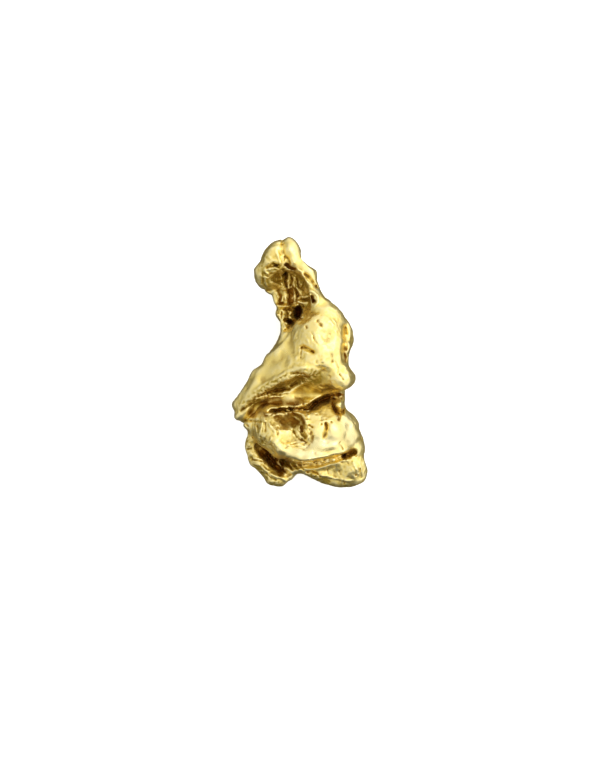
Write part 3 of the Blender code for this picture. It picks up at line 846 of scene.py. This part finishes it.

# %% [markdown]
# ## Where it is hollow
#
# The finish follows the shape: stain and painted shade darken what lies deep, and wear and a painted
# highlight brighten what stands proud. Each point is compared with a smoothed copy of the surface. A
# few rounds of smoothing find the small crevices, and many find the broad hollows.

# %% Measure hollows at two sizes and keep the fine one as an attribute
NEAR_ROUNDS, BROAD_ROUNDS = 10, 90
NORMAL_ROUNDS = 4
FULL_FINE_HOLLOW = 0.02  # depth in mm at which a small crevice counts fully
FULL_ROUGHNESS = 2  # the roughness that the material takes as one


def keep_attribute(name, values):
    """Stores a number for each point with the mesh, under a name that the material reads."""
    attribute = nugget.data.attributes.new(name, "FLOAT", "POINT")
    attribute.data.foreach_set("value", values.astype(np.float32))


def hollow_depth(points, normals, rounds):
    """How far each point lies under a copy of the surface smoothed for so many rounds."""
    return ((smoothed(points, rounds, *lists) - points) * normals).sum(axis=1)


lists = neighbour_lists()
shape = read_points()
normals = smoothed(read_normals(), NORMAL_ROUNDS, *lists)
fine_hollow = hollow_depth(shape, normals, NEAR_ROUNDS)
broad_hollow = hollow_depth(shape, normals, BROAD_ROUNDS)
keep_attribute("fine_hollow", np.clip(fine_hollow / FULL_FINE_HOLLOW, -1, 1))
keep_attribute("roughness", np.clip(roughness_of(shape, normals[:, 2]) / FULL_ROUGHNESS, 0, 1))
print("fine hollows reach", fine_hollow.max().round(3), "mm, broad ones", broad_hollow.max().round(3))

# %% [markdown]
# ## How much sky each place sees
#
# A place deep in a pocket sees little sky, and neither water nor stones reach it, so it stays
# stained; it is also darkened for that, as painted shade. Rays could measure that, but a height map
# is quicker: from each cell, the steepest way up in a direction is its horizon there.

# %% Measure the open sky from a height map
CELL = 0.04  # width of a cell of the height map, in mm
HORIZON_REACH = 1.6
HORIZON_DIRECTIONS = 16
SIDE_SKY = 0.7
SIDE_DEPTH = 0.10, 0.35  # how far under the highest point a side begins, and where it is fully one
SKY_ROUNDS = 6


def height_map(points):
    """The highest point over each square cell of the ground."""
    cells = np.ceil((high - low)[:2] / CELL).astype(int) + 1
    heights = np.zeros(cells)
    which = ((points[:, :2] - low[:2]) / CELL).astype(int)
    np.maximum.at(heights, tuple(which.T), points[:, 2])
    return heights, which


def open_sky(heights):
    """In each direction, the steepest way up from a cell to any other is the slope of its horizon.
    The cell sees one minus the sine of that angle, and the result is the mean over the directions."""
    reach = round(HORIZON_REACH / CELL)
    rows, columns = heights.shape
    padded = np.pad(heights, reach)
    seen = np.zeros_like(heights)
    for angle in np.linspace(0, 2 * np.pi, HORIZON_DIRECTIONS, endpoint=False):
        steepest = np.zeros_like(heights)
        for step in range(1, reach + 1):
            right, up = round(step * np.cos(angle)), round(step * np.sin(angle))
            other = padded[reach + right : reach + right + rows, reach + up : reach + up + columns]
            steepest = np.maximum(steepest, (other - heights) / (CELL * np.hypot(right, up)))
        seen += 1 - steepest / np.hypot(steepest, 1)
    return seen / HORIZON_DIRECTIONS


def sky_of(points):
    """How much sky each point sees. A point well under the highest one over its cell is on a side or
    on the back, and takes a fixed value."""
    heights, which = height_map(points)
    seen = open_sky(heights)[tuple(which.T)]
    under = smooth_step(heights[tuple(which.T)] - points[:, 2], *SIDE_DEPTH)
    return seen + (SIDE_SKY - seen) * under


sky = smoothed(sky_of(shape)[:, None], SKY_ROUNDS, *lists)[:, 0]
print("sky from", sky.min().round(2), "to", sky.max().round(2))

# %% [markdown]
# ## Film, rust and rubbed gold, with painted shade and painted highlight
#
# An olive colour lies on the brow, in the bowl and round the lower edges. It is partly film, where
# nothing rubs the gold, and partly painted shade, where these places turn from the light. It could
# be a noise pattern, but then it would lie anywhere, so it is a map of strokes like the rough places
# above.

# %% Where the olive film and its painted shade lie
# Olive: film where nothing rubs, and painted shade on the lower edges, the brow and the bowl.
FILM_AND_SHADE_STROKES = {
    "brow": (((246, 406), (257, 397), (271, 388), (287, 381), (301, 378), (315, 377)), 11, 1.5),
    "brow_low": (((262, 393), (284, 386)), 7, 0.5),
    "under_cheek": (((318, 378), (330, 386)), 7, 0.45),
    "hollow_top": (((280, 272), (290, 276), (297, 284)), 12, 0.80),
    "hollow_left": (((278, 292), (280, 304)), 6, 0.50),
    "right_wall": (((304, 282), (310, 292), (306, 304)), 9, 0.75),
    "hollow_bottom": (((278, 312), (288, 316)), 8, 0.55),
    "chin": (((262, 270), (266, 284), (278, 280)), 10, 0.75),
    "head_spot": (((270, 266), (278, 266)), 4, 0.60),
    "left_lobe": (((266, 248), (270, 264)), 14, 0.78),
    "ledge": (((302, 391), (322, 388)), 9, 0.30),
    "tip": (((240, 408), (256, 400)), 6, 0.40),
    "bowl": (((276, 417), (290, 417), (300, 425)), 12, 1.25),
    "ear": (((294, 432), (308, 438)), 8, 0.75),
    "belly_left": (((260, 422), (260, 442)), 10, 0.62),
    "overhang": (((262, 444), (274, 456), (286, 468)), 6, 0.50),
    "curl": (((247, 442), (252, 460), (264, 474), (280, 486)), 7, 0.95),
    "fold": (((286, 466), (304, 467)), 6, 0.70),
    "foot_line": (((296, 465), (304, 465)), 5, 0.5),
    "foot_edge": (((312, 478), (332, 487), (352, 491)), 8, 1.6),
    "curl_edge": (((264, 484), (284, 489)), 6, 1.2),
    "body_mottle": (((290, 334), (297, 348), (298, 366)), 8, 0.28),
}
print("strokes of film:", len(FILM_AND_SHADE_STROKES))

# %% [markdown]
# ## Red-brown stain and painted shade
#
# Iron from the ground stains what lies deep: the floor of the neck's hollow, the crevice, the pocket
# and the pits. The same red-brown also stands for the shade in these deep places, as painted shade.
# The shape alone can't tell which deep places are stained, so they have strokes too.

# %% Where the red-brown stain and painted shade lie
# Red-brown: stain, and painted shade in the deep places.
STAIN_AND_SHADE_STROKES = {
    "brow": (((256, 397), (272, 389), (288, 382), (304, 376)), 7, 0.28),
    "neck_floor": (((291, 289), (291, 302)), 7, 0.85),
    "neck_left": (((278, 290), (281, 302)), 5, 0.55),
    "deep_hole": (((299, 309), (299, 318)), 5, 0.90),
    "hollow_foot": (((284, 316), (290, 322)), 5, 0.55),
    "right_pocket": (((311, 298), (313, 302)), 4, 0.50),
    "hollow_crevice": (((287, 266), (295, 270)), 4, 0.50),
    "ledge_left": (((264, 404), (278, 403), (300, 402)), 6.5, 0.75),
    "crevice_left": (((266, 414), (280, 411.5), (294, 410.5)), 5, 0.95),
    "crevice": (((290, 410), (310, 406), (326, 400), (342, 396)), 6, 0.95),
    "tip_bowl": (((248, 412), (260, 412)), 6, 0.35),
    "bowl": (((277, 417), (290, 417), (300, 423)), 10, 0.45),
    "pocket": (((264, 454), (274, 464), (281, 474)), 8, 1.0),
    "right_pits": (((345, 348), (345, 361)), 4, 0.60),
    "nodule": (((331, 402), (335, 412), (338, 420)), 3, 0.60),
    "ear_pit": (((302, 428), (303, 432)), 3.5, 0.60),
    "ear_red": (((300, 440), (307, 441)), 3, 0.40),
    "foot_holes": (((342, 457), (350, 454)), 4, 0.60),
}
print("strokes of stain:", len(STAIN_AND_SHADE_STROKES))

# %% [markdown]
# ## Gold rubbed pale, and painted highlight
#
# The belly's front and side stood proud in the stream and are worn, and their colour is made nearly
# white, partly for the wear and partly as a painted highlight. The same kind of strokes says where.

# %% Where the gold is rubbed pale and painted with highlight
# Pale gold: wear, and painted highlight, also lightening the shade of the foot's groove.
WEAR_AND_HIGHLIGHT_STROKES = {
    "belly_front": (((306, 442), (332, 440)), 17, 0.9),
    "belly_side": (((346, 420), (352, 440)), 12, 0.9),
    "belly_low": (((288, 452), (318, 456)), 9, 0.7),
    "belly_top": (((312, 414), (330, 416)), 9, 0.5),
    "foot_line": (((304, 463), (316, 462), (334, 459)), 6, 1.2),
    "body": (((312, 326), (326, 340), (336, 360)), 13, 0.25),
}
print("strokes of rubbed gold:", len(WEAR_AND_HIGHLIGHT_STROKES))

# %% [markdown]
# ## Stain and painted shade that follow the shape
#
# The maps are added to what the shape itself says. Shaded places take more of both colours, which is
# painted shade. The sides and the back take theirs from the broad hollows, partly stain and partly
# painted shade, and from wide patches. Carved lines are cleared where they rise, partly for wear and
# partly as a painted highlight, and darkened where they sink, partly stain and partly painted shade.
# The sums are kept as attributes, which the material reads.

# %% Mix the maps with the shape and keep them as attributes
SHADE = 0.30, 0.90  # share of hidden sky where the painted shade begins, and where it is full
TOP_FACING = -0.1, 0.3  # upward part of the normal where the top begins, and where it is fully so
TOP_SPARED = 0.9  # share of the sides' own film, stain and painted shade that the top is spared
FILM_AND_SHADE_DEPTH, STAIN_AND_SHADE_DEPTH = (0.0, 0.03), (0.012, 0.05)  # broad hollow in mm where film and stain, partly painted shade, begin, and where they are full
PATCH_SIZE, PATCH_SEED = 0.6, 91
PATCH_RANGE = 0.0, 0.5  # noise at which a patch begins, and where it is full
PATCH_FILM = 0.5  # film of a patch, against that of a broad hollow
SHADE_FILM, SHADE_STAIN = 0.35, 0.25  # painted shade: olive and red-brown added in full shade
HOLLOW_FILM_AND_SHADE, HOLLOW_STAIN_AND_SHADE = 0.75, 0.55  # film and stain, partly painted shade, added in a broad hollow of the sides and the back
FILM_OFF_RAISED, STAIN_OFF_RAISED = 0.75, 0.85  # share taken off a raised line, partly for wear and partly as a painted highlight
SUNK_STAIN_AND_SHADE = 0.28  # stain added in a sunk line, partly painted shade
FULL_CARVED_HEIGHT = 0.09  # rise in mm of a carved line that counts fully
MOST_STAIN = 1.5

# Painted shade: places that see little sky take more of the olive and the red-brown.
shaded = smooth_step(1 - sky, *SHADE)
on_top = smooth_step(normals[:, 2], *TOP_FACING)
beside = 1 - TOP_SPARED * on_top
patches = smooth_step(lattice_noise(shape, PATCH_SIZE, PATCH_SEED), *PATCH_RANGE)
carved_sign = np.clip(carved_rise(shape) / FULL_CARVED_HEIGHT, -1, 1)
raised, sunk = np.clip(carved_sign, 0, 1), np.clip(-carved_sign, 0, 1)

# Olive film and painted shade: the strokes, more where sky is hidden, and broad hollows on the sides.
dull = place_map(shape[:, :2], FILM_AND_SHADE_STROKES) * on_top + SHADE_FILM * shaded
dull += HOLLOW_FILM_AND_SHADE * (smooth_step(broad_hollow, *FILM_AND_SHADE_DEPTH) + PATCH_FILM * patches) * beside
dull *= 1 - FILM_OFF_RAISED * raised
# Red-brown stain and painted shade: the strokes, hidden sky, broad hollows and sunk lines.
rusty = place_map(shape[:, :2], STAIN_AND_SHADE_STROKES) * on_top + SHADE_STAIN * shaded**2
rusty += HOLLOW_STAIN_AND_SHADE * smooth_step(broad_hollow, *STAIN_AND_SHADE_DEPTH) * beside
rusty = rusty * (1 - STAIN_OFF_RAISED * raised) + SUNK_STAIN_AND_SHADE * sunk * on_top
# Pale gold for wear and painted highlight, where the surface looks up.
pale = place_map(shape[:, :2], WEAR_AND_HIGHLIGHT_STROKES) * smooth_step(normals[:, 2], *MAP_FACING)
keep_attribute("dull", np.clip(dull, 0, MOST_STAIN) / MOST_STAIN)
keep_attribute("rusty", np.clip(rusty, 0, MOST_STAIN) / MOST_STAIN)
keep_attribute("pale", np.clip(pale, 0, 1))
print("film up to", dull.max().round(2), "and stain up to", rusty.max().round(2))

# %% [markdown]
# ## The gold
#
# Gold needs no texture image: it is a metal whose colour is its reflection. The Principled shader
# with Metallic at one gives that, and deep places turn orange by themselves, because light that
# bounces twice is coloured twice. Stain and painted shade in the hollows, and a burnish and painted
# highlight on the high parts, are mixed in from the attributes. Grain too fine for the mesh comes
# from a Bump node.

# %% A node group for the tone of the metal
def new_group(name, inputs, outputs):
    """An empty shader group with the named sockets. Each input has a type and a starting value."""
    group = bpy.data.node_groups.new(name, "ShaderNodeTree")
    for label, (kind, value) in inputs.items():
        socket = group.interface.new_socket(label, in_out="INPUT", socket_type=kind)
        socket.default_value = value
    for label, kind in outputs.items():
        group.interface.new_socket(label, in_out="OUTPUT", socket_type=kind)
    return group, group.nodes.new("NodeGroupInput"), group.nodes.new("NodeGroupOutput")


def linked(tree, kind, settings=None, **sockets):
    """A node with its settings, whose sockets take either a value or another node's output. A
    socket goes by its name, with _ for a space, or by its number after a _."""
    node = tree.nodes.new(kind)
    for key, value in (settings or {}).items():
        setattr(node, key, value)
    for label, value in sockets.items():
        numbered = label[1:].isdigit()
        socket = node.inputs[int(label[1:]) if numbered else label.replace("_", " ")]
        if isinstance(value, bpy.types.NodeSocket):
            tree.links.new(value, socket)
        else:
            socket.default_value = value
    return node


def mixed(tree, factor, first, second):
    """The colour between two colours. A Mix node's sockets 6 and 7 are its colours, and its output 2
    is the mixed colour."""
    node = linked(tree, "ShaderNodeMix", {"data_type": "RGBA"}, _0=factor, _6=first, _7=second)
    return node.outputs[2]


def ranged(tree, value, start, end, first=0.0, last=1.0):
    """The value's place between start and end, as a number from first to last."""
    ends = {"From_Min": start, "From_Max": end, "To_Min": first, "To_Max": last}
    return linked(tree, "ShaderNodeMapRange", None, Value=value, **ends).outputs[0]


def maths(tree, operation, *values):
    """One sum on two or three numbers, which are values or other nodes' outputs."""
    named = {f"_{place}": value for place, value in enumerate(values)}
    return linked(tree, "ShaderNodeMath", {"operation": operation}, **named).outputs[0]


COLOUR, NUMBER = "NodeSocketColor", "NodeSocketFloat"
# Each range: from where and to where the number that goes in runs, and what comes out at both
CROWN_WEAR_AND_HIGHLIGHT = 0.05, -0.40, 0.0, 0.6  # pale burnish on what stands proud, partly wear and partly painted highlight
CREST_COVER = -0.45, 0.25, 0.25, 1.2  # how much film, stain and painted shade stays, from a crest to a hollow
CREVICE_STAIN_AND_SHADE = 0.12, 0.8, 0.0, 0.8  # stain and painted shade of small crevices
MAP_COVER = 0.03, 0.62, 0.0, 1.0  # from a map's number to how far it covers the gold
tone, tone_in, tone_out = new_group(
    "Gold tone",
    {
        "Gold": (COLOUR, (0.92, 0.73, 0.23, 1)),
        "Worn": (COLOUR, (0.98, 0.87, 0.47, 1)),
        "Olive": (COLOUR, (0.42, 0.30, 0.045, 1)),
        "Rust": (COLOUR, (0.24, 0.105, 0.010, 1)),
        "Fine hollow": (NUMBER, 0.0),
        "Dull": (NUMBER, 0.0),
        "Rusty": (NUMBER, 0.0),
        "Mottle": (NUMBER, 1.0),
        "Pale": (NUMBER, 0.0),
    },
    {"Colour": COLOUR, "Covered": NUMBER},
)
hollowness = tone_in.outputs["Fine hollow"]
# A pale burnish on what stands proud: partly wear, partly painted highlight.
crown_wear_and_highlight = ranged(tone, hollowness, *CROWN_WEAR_AND_HIGHLIGHT)
wear_and_highlight_mix = maths(tone, "MAXIMUM", crown_wear_and_highlight, tone_in.outputs["Pale"])
metal = mixed(tone, wear_and_highlight_mix, tone_in.outputs["Gold"], tone_in.outputs["Worn"])
crest = ranged(tone, hollowness, *CREST_COVER)
# Small crevices take the red-brown: partly stain, partly painted shade.
crevice = ranged(tone, hollowness, *CREVICE_STAIN_AND_SHADE)
patchy = maths(tone, "MULTIPLY", crest, tone_in.outputs["Mottle"])
# The olive covers for film and painted shade, the red-brown for stain and painted shade.
film_and_shade_part = ranged(tone, tone_in.outputs["Dull"], *MAP_COVER)
film_and_shade_cover = maths(tone, "MULTIPLY", film_and_shade_part, patchy)
stain_and_shade_part = ranged(tone, tone_in.outputs["Rusty"], *MAP_COVER)
stain_and_shade_cover = maths(tone, "MULTIPLY", stain_and_shade_part, patchy)
deepest = ranged(tone, maths(tone, "MAXIMUM", stain_and_shade_cover, crevice), 0.0, 1.0)
dulled = mixed(tone, film_and_shade_cover, metal, tone_in.outputs["Olive"])
tone.links.new(mixed(tone, deepest, dulled, tone_in.outputs["Rust"]), tone_out.inputs["Colour"])
tone.links.new(maths(tone, "MAXIMUM", film_and_shade_cover, deepest), tone_out.inputs["Covered"])
print("made the group", tone.name)

# %% [markdown]
# ## The gold's own shader
#
# The Principled shader stays in the material, and only its colour, roughness and normal are fed.
# Film, stain and painted shade make the gold duller, and a fine grain with tiny hammered cells makes
# it satin.
# The tint of the metal's edge is kept golden, because a white edge would look like chrome.

# %% The gold itself
EDGE_TINT = (1.0, 0.86, 0.55, 1)
# Noise: how many waves to a metre, how many finer layers, and how strong each layer is
CLOUD_NOISE = 2600.0, 4.0, 0.6
SPOT_NOISE = 5200.0, 3.0, 0.6
GRAIN_NOISE = 26000.0, 5.0, 0.65
HAMMERING = 11000.0  # cells to a metre
MOTTLE = 0.35, 0.65, 0.7, 1.25  # noise from where and to where, and the mottle at both
SPOT_RANGE = 0.3, 0.7
SATIN = 0.24, 0.36  # the roughness of clean gold, from one spot to another
ROUGH_PLACES_ADD, STAIN_ADDS = 0.16, 0.2
HAMMER_SHARE = 0.6
BUMP_DISTANCE, BUMP_STRENGTH = 0.000012, 0.6


def noise_of(tree, place, scale, detail, roughness):
    """Blender's own noise at a place, as one number."""
    settings = {"Scale": scale, "Detail": detail, "Roughness": roughness}
    return linked(tree, "ShaderNodeTexNoise", None, Vector=place, **settings).outputs[0]


def attribute_of(tree, name):
    """The number that the mesh keeps under that name."""
    return linked(tree, "ShaderNodeAttribute", {"attribute_name": name}).outputs["Fac"]


gold = bpy.data.materials.new("placer_gold")
gold.use_nodes = True
tree = gold.node_tree
shader = tree.nodes["Principled BSDF"]
shader.inputs["Metallic"].default_value = 1.0
shader.inputs["Specular Tint"].default_value = EDGE_TINT
place = linked(tree, "ShaderNodeTexCoord").outputs["Object"]
mottle = ranged(tree, noise_of(tree, place, *CLOUD_NOISE), *MOTTLE)
toned = linked(
    tree,
    "ShaderNodeGroup",
    {"node_tree": tone},
    Fine_hollow=attribute_of(tree, "fine_hollow"),
    Dull=attribute_of(tree, "dull"),
    Rusty=attribute_of(tree, "rusty"),
    Mottle=mottle,
    Pale=attribute_of(tree, "pale"),
)
tree.links.new(toned.outputs["Colour"], shader.inputs["Base Color"])

satin = ranged(tree, noise_of(tree, place, *SPOT_NOISE), *SPOT_RANGE, *SATIN)
grainy = maths(tree, "MULTIPLY_ADD", attribute_of(tree, "roughness"), ROUGH_PLACES_ADD, satin)
stained = maths(tree, "MULTIPLY_ADD", toned.outputs["Covered"], STAIN_ADDS, grainy)
tree.links.new(stained, shader.inputs["Roughness"])

grain = noise_of(tree, place, *GRAIN_NOISE)
hammering = linked(tree, "ShaderNodeTexVoronoi", {"feature": "SMOOTH_F1"}, Vector=place, Scale=HAMMERING)
height = maths(tree, "MULTIPLY_ADD", hammering.outputs[0], HAMMER_SHARE, grain)
strength = {"Distance": BUMP_DISTANCE, "Strength": BUMP_STRENGTH}
bump = linked(tree, "ShaderNodeBump", None, Height=height, **strength)
tree.links.new(bump.outputs[0], shader.inputs["Normal"])
nugget.data.materials.clear()
nugget.data.materials.append(gold)
print("the gold has", len(tree.nodes), "nodes")

# %% [markdown]
# ## The floor
#
# The nugget lies on white paper, lit evenly. The floor is wide, so that no edge of it shows. It
# gives off a little light of its own, because the photograph's ground is pure white. The gold
# doesn't mirror it: what the gold mirrors is set in the world further down.

# %% A plain pale floor, wide and flat
FLOOR_HALF = 0.6
FLOOR_CELLS = 8


def flat_grid(half, cells):
    """A square of points at even steps of X and Y, at no height, and its faces row by row."""
    steps = np.linspace(-half, half, cells + 1)
    x, y = np.meshgrid(steps, steps)
    points = np.stack([x.ravel(), y.ravel(), np.zeros(x.size)], axis=1)
    corner = (np.arange(cells)[:, None] * (cells + 1) + np.arange(cells)).ravel()
    faces = np.stack([corner, corner + 1, corner + cells + 2, corner + cells + 1], axis=1)
    return points, faces


points, faces = flat_grid(FLOOR_HALF, FLOOR_CELLS)
floor_mesh = bpy.data.meshes.new("floor")
floor_mesh.from_pydata(points.tolist(), [], faces.tolist())
floor = bpy.data.objects.new("floor", floor_mesh)
bpy.context.scene.collection.objects.link(floor)
paper = bpy.data.materials.new("white_paper")
paper.use_nodes = True
PAPER_LOOK = {
    "Base Color": (0.9, 0.9, 0.9, 1),
    "Roughness": 0.9,
    "Emission Color": (1, 1, 1, 1),
    "Emission Strength": 0.55,
}
for socket, value in PAPER_LOOK.items():
    paper.node_tree.nodes["Principled BSDF"].inputs[socket].default_value = value
floor_mesh.materials.append(paper)
floor.visible_glossy = False
print("floor:", len(faces), "faces,", 2 * FLOOR_HALF, "m wide")

# %% [markdown]
# ## Soft lamps
#
# The photograph is lit widely from the upper right. Two large soft panels do that: a key from the
# right, and a weaker one nearly overhead. They stay weak, because a strong lamp would burn white
# spots into the metal that the photograph doesn't have.

# %% The light panels
PANELS = {
    # which way each stands from the nugget, its distance and width in metres, and its watts
    "key_panel": ((0.75, 0.45, 0.75), 0.06, 0.04, 0.006),
    "top_panel": ((-0.15, 0.25, 1.0), 0.08, 0.03, 0.002),
}


def light_panel(name, direction, distance, size, energy):
    """A square lamp in that direction from the nugget's middle, turned to face it."""
    lamp = bpy.data.lights.new(name, "AREA")
    lamp.shape = "SQUARE"
    lamp.size = size
    lamp.energy = energy
    made = bpy.data.objects.new(name, lamp)
    bpy.context.scene.collection.objects.link(made)
    back = Vector(direction).normalized()
    made.location = Vector((low + high) / 2 * MM) + back * distance
    made.rotation_euler = back.to_track_quat("Z", "Y").to_euler()
    made.visible_camera = False


for name, panel in PANELS.items():
    light_panel(name, *panel)

# %% [markdown]
# ## The world that the gold mirrors
#
# Polished gold shows what is round it, so the surroundings draw it more than any lamp. The world is
# brighter on the right than on the left, dark low down on the near side and under the horizon, and
# plain white to the camera. The dark parts draw the edges and the undersides.

# %% The world: pale to look at, and a studio to mirror
LIGHT_ALONG = {
    # along each axis: where the light begins to change and where it ends, and how bright at both
    "X": (-1.0, 0.4, 0.76, 1.30),
    "Y": (-0.95, -0.6, 0.12, 1.0),
    "Z": (-0.60, -0.05, 0.16, 1.0),
}
WHITE, WARM_WHITE = (1, 1, 1, 1), (1.0, 0.99, 0.96, 1)
SEEN_WHITE = 0.95

world = bpy.data.worlds.new("studio")
bpy.context.scene.world = world
world.use_nodes = True
sky_tree = world.node_tree
sky_tree.nodes.clear()
direction = linked(sky_tree, "ShaderNodeTexCoord").outputs["Generated"]
axes = linked(sky_tree, "ShaderNodeSeparateXYZ", None, Vector=direction)
brightness = [ranged(sky_tree, axes.outputs[axis], *LIGHT_ALONG[axis]) for axis in "XYZ"]
level = maths(sky_tree, "MULTIPLY", brightness[0], brightness[1])
mirrored = maths(sky_tree, "MULTIPLY", level, brightness[2])
path = linked(sky_tree, "ShaderNodeLightPath")
seen = linked(sky_tree, "ShaderNodeBackground", None, Color=WHITE, Strength=SEEN_WHITE)
glossy = linked(sky_tree, "ShaderNodeBackground", None, Color=WARM_WHITE, Strength=mirrored)
choice = {"_0": path.outputs["Is Camera Ray"], "_1": glossy.outputs[0], "_2": seen.outputs[0]}
blend = linked(sky_tree, "ShaderNodeMixShader", None, **choice)
linked(sky_tree, "ShaderNodeOutputWorld", None, Surface=blend.outputs[0])
print("the world has", len(sky_tree.nodes), "nodes")

# %% [markdown]
# ## The camera
#
# The nugget can't stand, so the camera looks straight down on it. A long lens from further away
# keeps its sides from spreading. The height follows from the lens and from how many millimetres
# the picture's long side covers.

# %% The camera looks straight down, framed as the photograph
LENS, SENSOR = 100.0, 36.0  # in mm
NEAREST_SEEN = 0.001  # in metres
long_side_mm = PICTURE[1] / PIXELS_PER_MM
camera_data = bpy.data.cameras.new("camera")
camera = bpy.data.objects.new("camera", camera_data)
bpy.context.scene.collection.objects.link(camera)
camera_data.lens = LENS
camera_data.sensor_width = SENSOR
camera_data.dof.use_dof = False
camera_data.clip_start = NEAREST_SEEN
centre = over_ground((PICTURE[0] / 2, PICTURE[1] / 2))
middle_height = (low[2] + high[2]) / 2
camera_height = middle_height + long_side_mm * LENS / SENSOR
camera.location = Vector((centre[0], centre[1], camera_height)) * MM
bpy.context.scene.camera = camera
bpy.context.scene.view_settings.view_transform = "Standard"
print("the camera is", round(camera_height, 1), "mm up")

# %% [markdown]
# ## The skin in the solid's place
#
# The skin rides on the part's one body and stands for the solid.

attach(nugget, "root")
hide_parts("nugget")
